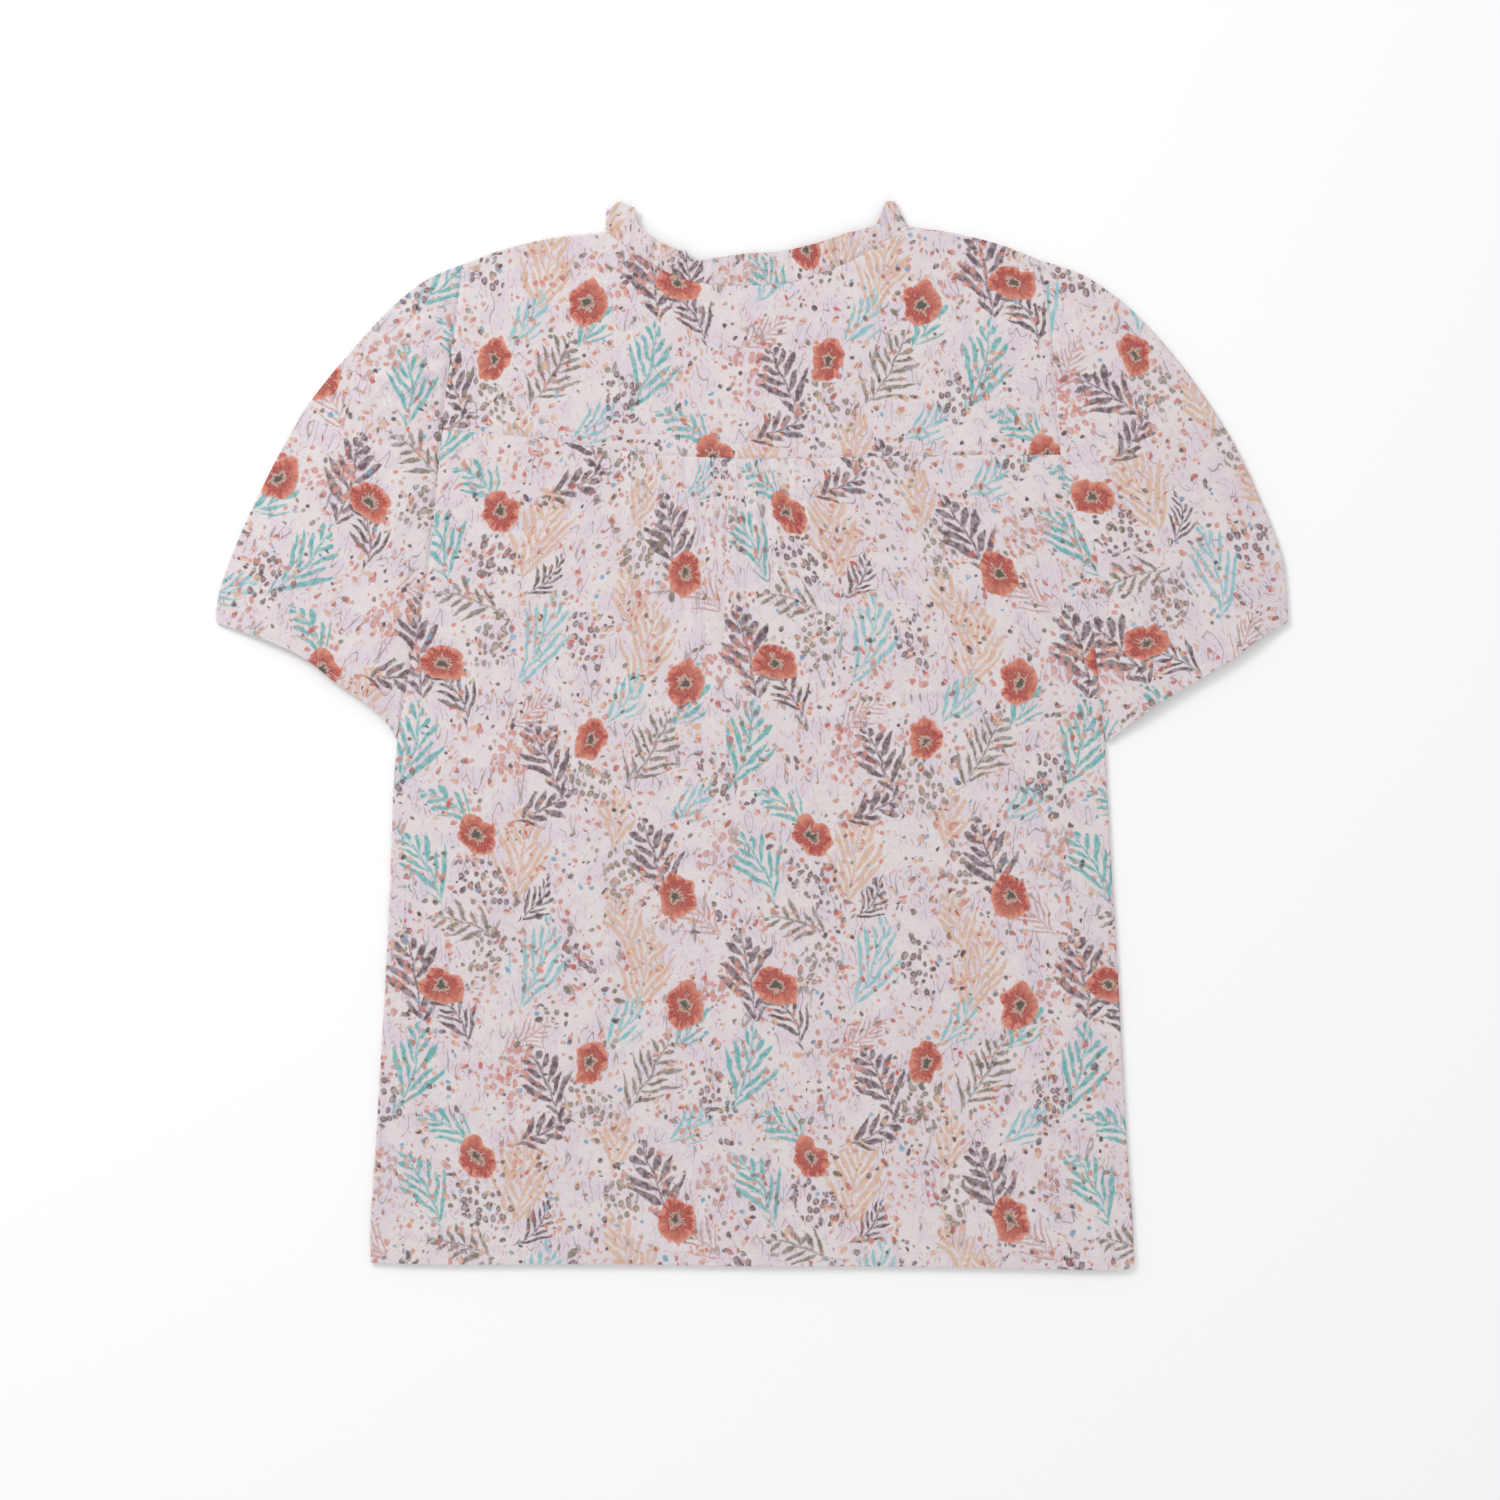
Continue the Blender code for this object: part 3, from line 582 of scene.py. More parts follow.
def distance_to(curves, points):
    """The distance in x and y from each point to the nearest of these curves."""
    nearest = np.full(points.shape[:-1], np.inf)
    for curve in curves:
        for place in curve.points[::2, :2]:
            nearest = np.minimum(nearest, np.hypot(*(points[..., :2] - place).T).T)
    return nearest


ARMHOLES = {side: side_curve(ARMHOLE, side) for side in SIDES.values()}
SIDE_SEAMS = {side: side_curve(SIDE_SEAM, side) for side in SIDES.values()}
SLEEVE_FOLDS = {side: side_curve(SLEEVE_FOLD, side) for side in SIDES.values()}
SHOULDERS = {
    -1: Curve([*SHOULDER_LEFT, ARMHOLE[0][:2]]),
    1: Curve([*SHOULDER_RIGHT, ARMHOLE[0][2:]]),
}
TURNED_EDGES = [
    curve for edges in (SIDE_SEAMS, SLEEVE_FOLDS, SHOULDERS) for curve in edges.values()
]


def fold_heights(points, folds):
    """The sum of these folds at each point."""
    total = np.zeros(points.shape[:-1])
    for fold in folds:
        turn = math.radians(fold.turn)
        x = points[..., 0] - fold.x
        y = points[..., 1] - fold.y
        along = x * math.sin(turn) + y * math.cos(turn)
        beside = x * math.cos(turn) - y * math.sin(turn)
        fade = np.exp(-((2 * along / fold.length) ** 4))
        total += fold.height * fade * np.exp(-((beside / fold.width) ** 2))
    return total


def crinkle(points):
    """Low unevenness between about -1 and 1: waves of set directions and lengths."""
    total = np.zeros(points.shape[:-1])
    shortest, longest = CRINKLE_LENGTHS
    for number in range(1, CRINKLE_WAVES + 1):
        turn = GOLDEN_ANGLE * number
        length = shortest + (longest - shortest) * (number * GOLDEN_SHARE % 1)
        phase = points[..., 0] * math.cos(turn) + points[..., 1] * math.sin(turn)
        total += np.sin(2 * math.pi * phase / length + 1.7 * number)
    return total * 3 / CRINKLE_WAVES


def upper_height(points):
    """The middle of the upper layer, the same for every piece, so that seams meet."""
    ramp = smooth(distance_to(TURNED_EDGES, points) / EDGE_RAMP)
    dip = 1 - sum(
        ((points[..., axis] - NECK_DIP_AT[axis]) / NECK_DIP_SPREAD[axis]) ** 2
        for axis in range(2)
    )
    lift = BODY_LOFT + fold_heights(points, SOFT_FOLDS)
    height = UPPER_MID + ramp * lift - NECK_DIP * smooth(dip)
    return np.maximum(height, LOWEST_UPPER_MID)


def surface_detail(points, sizes):
    """Creases and crinkle, which fade out where the cloth turns over at an edge."""
    fade = smooth(distance_to(TURNED_EDGES, points) / CREASE_FADE)
    return fade * (fold_heights(points, CREASES) + sizes.crinkle / MM * crinkle(points))


def lower_height(points, sizes):
    """The middle of the lower layer, which lies flat but for a little crinkle."""
    return LOWER_MID + LOWER_CRINKLE * sizes.crinkle / MM * (1 + crinkle(points))


def sway(place, turns, shift=0.0):
    """A slow wave that makes other waves uneven as place runs from 0 to 1."""
    return np.sin(2 * math.pi * turns * place + shift)


def gathers(place, count):
    """Uneven waves between -1 and 1 as place runs from 0 to 1."""
    drift = 0.22 * sway(place, 2.3, 0.6)
    size = 0.8 + 0.2 * sway(place, 3.1)
    return size * np.sin(2 * math.pi * (count * place + drift))


def between_ends(place, steepness):
    """1 well inside 0 to 1, and a soft fall to 0 at both ends."""
    return smooth(steepness * place) * smooth(steepness * (1 - place))


def coons(top, bottom, left, right, across, down):
    """Points of the surface that fills four curves, at these shares across and down."""
    u = across[..., None]
    v = down[..., None]
    start = np.zeros(1)
    end = np.ones(1)
    corners = (1 - u) * (1 - v) * top.at(start) + u * (1 - v) * top.at(end)
    corners = corners + (1 - u) * v * bottom.at(start) + u * v * bottom.at(end)
    rows = (1 - v) * top.at(across) + v * bottom.at(across)
    columns = (1 - u) * left.at(down) + u * right.at(down)
    return rows + columns - corners


def spaced(length, step, start, end):
    """Shares along a length: close together near each end that is named fine, else even."""
    fine = np.array([0.0, 0.12, 0.3, 0.55, 0.85, 1.2, 1.7, 2.4, 3.4, 4.8, 6.4])
    first = fine if start else fine[:1]
    last = length - fine[::-1] if end else np.array([length])
    count = max(2, int(round((last[0] - first[-1]) / step)))
    middle = np.linspace(first[-1], last[0], count + 1)[1:-1]
    return np.concatenate([first, middle, last]) / length


def run_lengths(grid, axis):
    """Distances along the grid's lines from its first row (axis 0) or column (axis 1)."""
    steps = np.linalg.norm(np.diff(grid[..., :2], axis=axis), axis=-1)
    blank = np.zeros_like(np.take(steps, [0], axis=axis))
    return np.concatenate([blank, np.cumsum(steps, axis=axis)], axis=axis)


def edge_distances(plan):
    """Distances along a grid's lines from its nearer side, its top and its bottom."""
    beside = run_lengths(plan, 1)
    below = run_lengths(plan, 0)
    return np.minimum(beside, beside[:, -1:] - beside), below, below[-1:] - below


def turned(height, distance, share):
    """Heights of cloth that turns over towards the other layer near an edge."""
    inward = np.clip(1 - distance / EDGE_ROUND, 0, 1)
    level = np.maximum(np.sqrt(1 - inward**2), EDGE_OPENING)
    return TURN_MID + (height - TURN_MID) * (1 - share * (1 - level))


def armhole_pull(points):
    """How many times deeper than other seams the armhole seam lies at these points."""
    return np.where(points[..., 0] < 0, *ARMHOLE_PULL)


def seam_dip(distance, sizes, allowance=True, pull=1.0, reach=SEAM_REACH):
    """Heights beside a seam: a groove, then the low ridge of the cloth folded back."""
    groove = -pull * sizes.seam_depth / MM * np.exp(-((distance / reach) ** 2))
    if not allowance:
        return groove
    width = sizes.seam_allowance / MM
    ridge = smooth(distance / RIDGE_RISE) * (1 - smooth((distance - width) / RIDGE_FALL))
    return groove + RIDGE_HEIGHT * ridge


def hem_height(distance, hem, sizes):
    """Heights over a hem: double cloth, drawn in a little along its stitches."""
    step = sizes.hem_rise / MM * (1 - smooth((distance - hem) / HEM_STEP))
    from_stitches = (distance - hem + HEM_STITCHES_IN) / HEM_STITCH_SPREAD
    return step - HEM_STITCH_DIP * np.exp(-(from_stitches**2))


def at_height(points, height):
    return np.concatenate([points, height[..., None]], axis=-1)


def top_edge(neck):
    """Shoulder, neck and shoulder as one edge, its corners' shares and its length."""
    left = Curve(SHOULDERS[-1].points[::-4])
    parts = [left, Curve([row[:2] for row in neck]), SHOULDERS[1]]
    lengths = np.cumsum([curve.lengths[-1] for curve in parts])
    corners = lengths[:2] / lengths[-1]
    return Joined(parts, corners), corners, lengths[-1]


def along_neck(u, corners):
    """1 along the neck and 0 along the shoulders of a top edge."""
    return smooth((u - corners[0]) / CORNER_BLEND) * smooth((corners[1] - u) / CORNER_BLEND)


def yoke_seam(below=0.0):
    """The seam under the yoke, this far below it, and its ends as armhole shares."""
    ends = {}
    corners = {}
    for side, height in zip(SIDES.values(), YOKE_SEAM_ENDS):
        ends[side] = ARMHOLES[side].share_at_height(height - below)
        corners[side] = ARMHOLES[side].at(np.array([ends[side]]))[0]
    middle = [(point.x, point.y - below) for point in YOKE_SEAM]
    return Curve([corners[-1], *middle, corners[1]]), ends


# ---------------------------------------------------------------- meshes


def add_object(name, data):
    """A new object of this data, in the scene."""
    made = bpy.data.objects.new(name, data)
    bpy.context.scene.collection.objects.link(made)
    return made


def cloth_mesh(name, grid, cloth_grid, thickness, closed=False):
    """A piece of cloth: a grid of points with its flat cloth coordinates, given a wall."""
    rows, columns = grid.shape[:2]
    index = np.arange(rows * columns).reshape(rows, columns)
    cloth_index = np.arange(rows * cloth_grid.shape[1]).reshape(rows, -1)
    if closed:
        index = np.hstack([index, index[:, :1]])

    def corners(numbers):
        cells = (numbers[:-1, :-1], numbers[1:, :-1], numbers[1:, 1:], numbers[:-1, 1:])
        return np.stack(cells, axis=-1).reshape(-1, 4)

    mesh = bpy.data.meshes.new(name)
    points = (grid.reshape(-1, 3) + CENTRING) * MM
    mesh.from_pydata(points.tolist(), [], corners(index).tolist())
    layer = mesh.uv_layers.new(name="cloth")
    flat = cloth_grid.reshape(-1, 2)[corners(cloth_index).reshape(-1)] * MM
    layer.data.foreach_set("uv", flat.ravel())
    mesh.validate()
    piece = add_object(name, mesh)
    wall = piece.modifiers.new("Wall", "SOLIDIFY")
    wall.thickness = thickness
    wall.offset = 0
    wall.use_even_offset = False
    select_only(piece)
    bpy.ops.object.modifier_apply(modifier=wall.name)
    bpy.ops.object.shade_smooth_by_angle(angle=math.radians(SMOOTH_ANGLE))
    piece.data.materials.append(cotton())
    return piece


def select_only(piece):
    bpy.ops.object.select_all(action="DESELECT")
    piece.select_set(True)
    bpy.context.view_layer.objects.active = piece


def dress(piece, *, rests_on):
    """Hides the frame node that the piece stands for and ties the piece to the frame's body."""
    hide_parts(piece.name.replace("_cloth", ""))
    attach(piece, BODY)


# ---------------------------------------------------------------- pieces


def make_front(sizes):
    """The front panel, face down, with its lower neck."""
    top, corners, width = top_edge(FRONT_NECK)
    edges = [
        Joined([ARMHOLES[side], SIDE_SEAMS[side]], [FRONT_UNDERARM])
        for side in SIDES.values()
    ]
    columns = spaced(width, FRONT_COLUMN_STEP, True, True)
    rows = spaced(*FRONT_ROWS, True, True)
    u, v = np.meshgrid(columns, rows)
    plan = coons(top, Curve(HEM), *edges, u, v)
    beside, below, above_hem = edge_distances(plan)
    height = lower_height(plan, sizes)
    height = height + FRONT_HEM_SHARE * hem_height(above_hem, sizes.body_hem / MM, sizes)
    height = turned(height, beside, smooth((v - FRONT_UNDERARM) / UNDERARM_BLEND))
    height = turned(height, below, 1 - along_neck(u, corners))
    grid = at_height(plan, height)
    cloth_grid = plan * (-1, 1) + CUT_AT["front"]
    piece = cloth_mesh("front_cloth", grid, cloth_grid, sizes.thickness)
    dress(piece, rests_on=["floor"])


def make_back_yoke(sizes):
    """The deep yoke across the shoulders."""
    top, corners, width = top_edge(BACK_NECK)
    seam, ends = yoke_seam()
    edges = [ARMHOLES[side].part(0, ends[side]) for side in SIDES.values()]
    columns = spaced(width, YOKE_ROWS.step, True, True)
    rows = spaced(*YOKE_ROWS, True, True)
    u, v = np.meshgrid(columns, rows)
    plan = coons(top, seam, *edges, u, v)
    beside, below, above_seam = edge_distances(plan)
    neck = along_neck(u, corners)
    height = upper_height(plan) + surface_detail(plan, sizes)
    height = height + seam_dip(above_seam, sizes)
    height = height + seam_dip(beside, sizes, pull=armhole_pull(plan))
    height = height + neck * seam_dip(below, sizes, pull=NECK_PULL)
    height = turned(height, below, 1 - neck)
    grid = at_height(plan, height)
    cloth_grid = plan + CUT_AT["back_yoke"]
    piece = cloth_mesh("back_yoke_cloth", grid, cloth_grid, sizes.thickness)
    dress(piece, rests_on=["front"])


def gathered_print(plan, below, place, fade):
    """Cloth coordinates of the gathered panel, which is wider than it lies.

    A little of the print is lost in each crease and all along the low gathers.
    """
    hidden = (np.clip(place, 0, 1) - 0.5) * YOKE_FULLNESS * fade
    for crease in CREASES[:SEAM_CREASES]:
        slope = math.tan(math.radians(crease.turn))
        beside = plan[..., 0] - crease.x - (plan[..., 1] - crease.y) * slope
        reach = 1 - smooth(below / crease.length)
        lost = CREASE_FULLNESS * abs(crease.height)
        hidden = hidden + lost * reach * np.tanh(2 * beside / crease.width)
    return plan + np.stack([hidden, np.zeros_like(hidden)], axis=-1)


def make_back_body(sizes, gather_sizes):
    """The back panel, gathered to the yoke in the middle."""
    top, ends = yoke_seam(SEAM_GAP)
    edges = [
        Joined([ARMHOLES[side].part(ends[side], 1), SIDE_SEAMS[side]], [BACK_UNDERARM])
        for side in SIDES.values()
    ]
    first, last = YOKE_GATHERS
    start, end = (float(np.interp(x, top.points[:, 0], top.shares)) for x in YOKE_GATHERS)
    width = top.lengths[-1]
    left = spaced(start * width, PLAIN_COLUMN_STEP, True, False) * start
    middle = start + (end - start) * np.linspace(0, 1, GATHERED_COLUMNS)[1:-1]
    right = spaced((1 - end) * width, PLAIN_COLUMN_STEP, True, False) * (1 - end)
    columns = np.concatenate([left, middle, 1 - right[::-1]])
    near = BACK_UNDERARM * spaced(*ABOVE_UNDERARM, True, False)
    far = (1 - BACK_UNDERARM) * spaced(*BELOW_UNDERARM, False, True)[1:]
    u, v = np.meshgrid(columns, np.concatenate([near, BACK_UNDERARM + far]))
    plan = coons(top, Curve(HEM), *edges, u, v)
    beside, below, above_hem = edge_distances(plan)

    place = (plan[..., 0] - first) / (last - first)
    fade = 1 - smooth(below / (gather_sizes.back_length / MM))
    waves = between_ends(place, 6) * fade * gathers(place, gather_sizes.back_count)
    height = upper_height(plan) + surface_detail(plan, sizes)
    height = height + gather_sizes.back_height / MM * waves
    height = np.maximum(height, LOWEST_UPPER_MID)
    armhole = 1 - smooth((v - BACK_UNDERARM) / UNDERARM_BLEND)
    height = height + seam_dip(below, sizes, allowance=False)
    height = height + armhole * seam_dip(beside, sizes, pull=armhole_pull(plan))
    height = height + hem_height(above_hem, sizes.body_hem / MM, sizes)
    height = turned(height, beside, 1 - armhole)
    grid = at_height(plan, height)

    cloth_grid = gathered_print(plan, below, place, fade)
    piece = cloth_mesh("back_body_cloth", grid, cloth_grid, sizes.thickness)
    dress(piece, rests_on=["front"])
    return grid, above_hem


def outward(curve, side):
    """Unit vectors at the curve's points, out of the garment's body."""
    along = np.gradient(curve.points, axis=0)
    along /= np.hypot(*along.T)[:, None]
    return side * np.stack([-along[:, 1], along[:, 0]], axis=1)


def sleeve_print(plan, upper_columns, side):
    """Cloth coordinates all round a sleeve, turned by its grain.

    The lower layer carries the print the other way round, as it faces down.
    """
    unfolded = plan.copy()
    unfolded[:, upper_columns:] *= (-1, 1)
    unfolded = np.concatenate([unfolded, unfolded[:, :1]], axis=1)
    grain = math.radians(SLEEVE_GRAIN[side])
    turn = np.array([[math.cos(grain), -math.sin(grain)], [math.sin(grain), math.cos(grain)]])
    return unfolded @ turn.T


def make_sleeve(name, side, sizes, gather_sizes):
    """A short puff sleeve, a flattened tube gathered at its head."""
    clear = ARMHOLES[side].points + SEAM_GAP * outward(ARMHOLES[side], side)
    armhole = Curve(clear[::4])
    fold = Curve(np.vstack([clear[:1], SLEEVE_FOLDS[side].points[8::8]]))
    cuff = side_curve(CUFF, side)
    underarm = Curve(np.linspace(clear[-1], cuff.points[-1], 3))
    down = spaced(*SLEEVE_ROWS, True, True)
    widths = run_lengths(coons(armhole, cuff, fold, underarm,
                               *np.meshgrid(np.linspace(0, 1, 40), down)), 1)[:, -1:]
    top_shares = spaced(*SLEEVE_UPPER, True, True)
    under_shares = spaced(*SLEEVE_LOWER, True, True)[-2:0:-1]
    across = np.concatenate([top_shares, under_shares])
    u, v = np.meshgrid(across, down)
    plan = coons(armhole, cuff, fold, underarm, u, v)
    beside = np.minimum(u, 1 - u) * widths
    from_seam = run_lengths(plan, 0)
    above_cuff = from_seam[-1:] - from_seam
    top = slice(0, len(top_shares))

    first, last = HEAD_GATHERS
    place = (u - first) / (last - first)
    fade = between_ends(place, 5) * (1 - smooth(v / HEAD_GATHER_REACH))
    waves = gathers(place, gather_sizes.head_count / 2)
    waves = waves + 0.35 * gathers(place, gather_sizes.head_count * 1.5)  # finer ones
    puff = SLEEVE_LOFT * smooth(beside / EDGE_RAMP) * smooth(from_seam / ARMHOLE_RAMP)
    upper = upper_height(plan) + puff + surface_detail(plan, sizes)
    upper = upper + gather_sizes.head_height / MM * fade * waves
    upper = np.maximum(upper, LOWEST_UPPER_MID)
    pull = armhole_pull(plan)
    upper = upper + seam_dip(from_seam, sizes, False, pull, SLEEVE_HEAD_REACH)
    upper = upper + hem_height(above_cuff, sizes.cuff_hem / MM, sizes)
    lower = lower_height(plan, sizes)
    height = np.where(np.arange(len(across)) < len(top_shares), upper, lower)
    inward = np.clip(1 - beside / EDGE_ROUND, 0, 1)
    height = TURN_MID + (height - TURN_MID) * np.sqrt(1 - inward**2)
    grid = at_height(plan, height)

    cloth_grid = sleeve_print(plan, len(top_shares), side) + CUT_AT[name]
    piece = cloth_mesh(name + "_cloth", grid, cloth_grid, sizes.thickness, closed=True)
    dress(piece,
          rests_on=["floor"])
    return grid[:, top], above_cuff[:, top]


def frill_run(table, waves, steps):
    """Seam points, edge points and shares of one run of the frill, with even steps."""
    curve = Curve(table)
    shares = np.linspace(0, 1, waves * steps + 1)
    points = curve.at(shares)
    seam = points[:, :2]
    edge = points[:, 2:]
    toward = edge - seam
    toward /= np.hypot(*toward.T)[:, None]
    along = np.gradient(seam, axis=0)
    along /= np.hypot(*along.T)[:, None]
    across = np.stack([-along[:, 1], along[:, 0]], axis=1)
    slant = 1 - np.sum(across * toward, axis=1, keepdims=True)
    return seam + SEAM_GAP * (across + slant * toward), edge, shares


def frill_plan(seam, edge, out):
    """Points of a run of the frill in plan, from its seam out to its free edge."""
    return seam[None] + (edge - seam)[None] * out[..., None]


def back_frill(sizes, frill, out):
    """The run along the back neck, with its folded-over left end."""
    seam, edge, shares = frill_run(BACK_NECK, frill.back_waves, BACK_WAVE_STEPS)
    ends = between_ends(shares, FRILL_END_FADE)
    calm = FRILL_CALM + (1 - FRILL_CALM) * smooth(np.abs(shares - 0.5) / FRILL_CALM_REACH)
    calm = calm * (0.7 + 0.3 * sway(shares, 5.2, 2.0))
    crowded = shares + 0.012 * sway(shares, 3.3, 1.0) + 0.006 * sway(shares, 7.1)
    wave = calm * gathers(crowded, frill.back_waves)
    fine = 0.4 * calm * gathers(shares, frill.back_waves * 1.7)
    reach = 0.25 + 0.75 * out  # the waves grow outwards and the fine ones inwards
    height = frill.back_height / MM * ends * (reach * wave + (1.3 - reach) * fine)

    lift = FRILL_LIFT + (FRILL_TIP_LIFT - FRILL_LIFT) * (1 - ends)
    flap_end = FLAP_END_AT_SEAM + (FLAP_END_AT_EDGE - FLAP_END_AT_SEAM) * out
    folded = FLAP_HEIGHT * smooth((shares - FLAP_START) / FLAP_RISE)
    folded = folded * (1 - smooth((shares - flap_end) / FLAP_FALL))
    height = upper_height(seam)[None] + lift[None] * out + height + folded * smooth(2 * out)
    height = height + seam_dip(out * FRILL_HEIGHT, sizes, allowance=False, pull=NECK_PULL)
    return at_height(frill_plan(seam, edge, out), height)


def front_frill(frill, out):
    """The hidden run along the front neck, from its right end to its left one."""
    seam, edge, shares = frill_run(FRONT_NECK, frill.front_waves, FRONT_WAVE_STEPS)
    ripple = (1 + gathers(shares, frill.front_waves)) / 2
    ripple = between_ends(shares, FRILL_END_FADE) * ripple * (0.3 + 0.7 * out)
    height = LOWER_MID + HIDDEN_FRILL_RISE * ripple
    return at_height(frill_plan(seam, edge, out), height)[:, ::-1]


def hairpin(above, side):
    """The turn at a shoulder, from the upper run's end down to the lower one's."""
    bend = np.linspace(0, math.pi, TIP_STEPS)[None, 1:-1]
    radius = (above[:, 2:] - LOWER_MID) / 2
    x = above[:, :1] + side * radius * np.sin(bend)
    y = np.repeat(above[:, 1:2], bend.shape[1], axis=1)
    z = LOWER_MID + radius * (1 + np.cos(bend))
    return np.stack([x, y, z], axis=-1)


def make_neck_frill(sizes, frill):
    """The gathered strip round the neck, in one ring."""
    out = np.linspace(0, 1, FRILL_ROWS)[:, None]
    back = back_frill(sizes, frill, out)
    right = hairpin(back[:, -1], 1)
    left = hairpin(back[:, 0], -1)[:, ::-1]
    ring = np.concatenate([back, right, front_frill(frill, out), left], axis=1)
    around = np.concatenate([ring, ring[:, :1]], axis=1)
    along = run_lengths(around, 1)[:1] * frill.fullness
    cloth_grid = np.stack(np.broadcast_arrays(along, FRILL_HEIGHT * out), axis=-1)
    piece = cloth_mesh("neck_frill_cloth", ring, cloth_grid + CUT_AT["neck_frill"],
                       sizes.frill_thickness, closed=True)
    dress(piece,
          rests_on=["back_yoke", "front"])


# ---------------------------------------------------------------- stitching


def line_at(grid, distances, wanted):
    """The line across a grid where its distance from an edge is the wanted one."""
    points = []
    for column in range(grid.shape[1]):
        order = np.argsort(distances[:, column])
        known = distances[order, column]
        points.append([np.interp(wanted, known, grid[order, column, k]) for k in range(3)])
    return np.array(points)


def stitch_shape(stitches):
    """One stitch along x: a small rounded bead, drawn out and pressed flat."""
    bpy.ops.object.select_all(action="DESELECT")
    bpy.ops.mesh.primitive_ico_sphere_add(subdivisions=2, radius=stitches.length / 2)
    bead = bpy.context.object
    bpy.ops.object.mode_set(mode="EDIT")
    bpy.ops.mesh.select_all(action="SELECT")
    slim = stitches.width / stitches.length
    bpy.ops.transform.resize(value=(1.0, slim, 0.8 * slim))
    bpy.ops.object.mode_set(mode="OBJECT")
    points = np.array([vertex.co for vertex in bead.data.vertices])
    faces = np.array([face.vertices for face in bead.data.polygons])
    bpy.data.objects.remove(bead)
    return points, faces


def stitch_rows(name, lines, stitches, lift):
    """All the stitches of these lines as one mesh of copies of one stitch."""
    shape, faces = stitch_shape(stitches)
    all_points = []
    all_faces = []
    for line in lines:
        line = (line + CENTRING) * MM
        steps = np.linalg.norm(np.diff(line, axis=0), axis=1)
        lengths = np.concatenate([[0], np.cumsum(steps)])
        places = np.arange(stitches.pitch, lengths[-1] - stitches.pitch, stitches.pitch)
        for place in places:
            here, before, after = (
                np.array([np.interp(at, lengths, line[:, k]) for k in range(3)])
                for at in (place, place - stitches.length / 2, place + stitches.length / 2)
            )
            along = after - before
            along /= np.linalg.norm(along)
            beside = np.cross((0, 0, 1), along)
            beside /= np.linalg.norm(beside)
            up = np.cross(along, beside)
            turned_shape = shape @ np.stack([along, beside, up])
            all_faces.append(faces + len(all_points) * len(shape))
            all_points.append(turned_shape + here + (0, 0, lift))
    mesh = bpy.data.meshes.new(name)
    mesh.from_pydata(np.concatenate(all_points).tolist(), [], np.concatenate(all_faces).tolist())
    mesh.shade_smooth()
    mesh.materials.append(thread())
    piece = add_object(name, mesh)
    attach(piece, BODY)


# ---------------------------------------------------------------- materials


class Ink:
    """A number or a vector that varies over the cloth, held by a socket of shader nodes."""

    tree = None

    def __init__(self, socket):
        self.socket = socket

    @property
    def wide(self):
        return self.socket.type != "VALUE"

    def __add__(self, other):
        return combine("ADD", self, other)

    def __sub__(self, other):
        return combine("SUBTRACT", self, other)

    def __rsub__(self, other):
        return combine("SUBTRACT", other, self)

    def __mul__(self, other):
        return combine("MULTIPLY", self, other)

    def __truediv__(self, other):
        return combine("DIVIDE", self, other)


def node(kind, inputs, result=0, **settings):
    """Adds a shader node, feeds its inputs by name or number, and gives its result.

    Where several results are named, it gives a list of them.
    """
    made = Ink.tree.nodes.new(kind)
    for name, value in settings.items():
        setattr(made, name, value)
    for name, value in inputs.items():
        if isinstance(value, Ink):
            Ink.tree.links.new(made.inputs[name], value.socket)
        else:
            made.inputs[name].default_value = value
    if isinstance(result, tuple):
        return [Ink(made.outputs[name]) for name in result]
    return Ink(made.outputs[result])


def is_wide(value):
    return value.wide if isinstance(value, Ink) else isinstance(value, tuple)


def combine(operation, *values):
    """One step of arithmetic on numbers or on vectors."""
    if not any(is_wide(value) for value in values):
        return node("ShaderNodeMath", dict(enumerate(values)), operation=operation)
    if operation == "MULTIPLY" and not is_wide(values[1]):
        return node("ShaderNodeVectorMath", {0: values[0], 3: values[1]}, operation="SCALE")
    return node("ShaderNodeVectorMath", dict(enumerate(values)), operation=operation)


def scaled_sum(a, b, c):
    """a times b plus c, in one node."""
    return combine("MULTIPLY_ADD", a, b, c)


def call(operation, a, b=0.0):
    return node("ShaderNodeMath", {0: a, 1: b}, operation=operation)


def length(vector):
    return node("ShaderNodeVectorMath", {0: vector}, result=1, operation="LENGTH")


def dot(vector, other):
    return node("ShaderNodeVectorMath", {0: vector, 1: other}, result=1, operation="DOT_PRODUCT")


def split(vector):
    return node("ShaderNodeSeparateXYZ", {0: vector}, result=("X", "Y", "Z"))


def rotated(vector, angle):
    inputs = {"Vector": vector, "Angle": angle}
    return node("ShaderNodeVectorRotate", inputs, rotation_type="Z_AXIS")


def step(value, low, high):
    """0 below low and 1 above high, with a soft rise between."""
    inputs = {"Value": value, "From Min": low, "From Max": high}
    return node("ShaderNodeMapRange", inputs, interpolation_type="SMOOTHSTEP")


def mix(amount, under, over):
    return node("ShaderNodeMix", {0: amount, 6: under, 7: over}, result=2, data_type="RGBA")


def blot(vector, size, detail=1.0, result=0):
    """Soft noise of about this grain in millimetres."""
    inputs = {"Vector": vector, "Scale": 1.0 / size, "Detail": detail}
    return node("ShaderNodeTexNoise", inputs, result=result, noise_dimensions="2D")


def cells(vector, pitch, randomness=1.0):
    """Scattered points: distance to the nearest, its random numbers and its place."""
    inputs = {"Vector": vector, "Scale": 1.0 / pitch, "Randomness": randomness}
    results = ("Distance", "Color", "Position")
    return node("ShaderNodeTexVoronoi", inputs, result=results, voronoi_dimensions="2D")


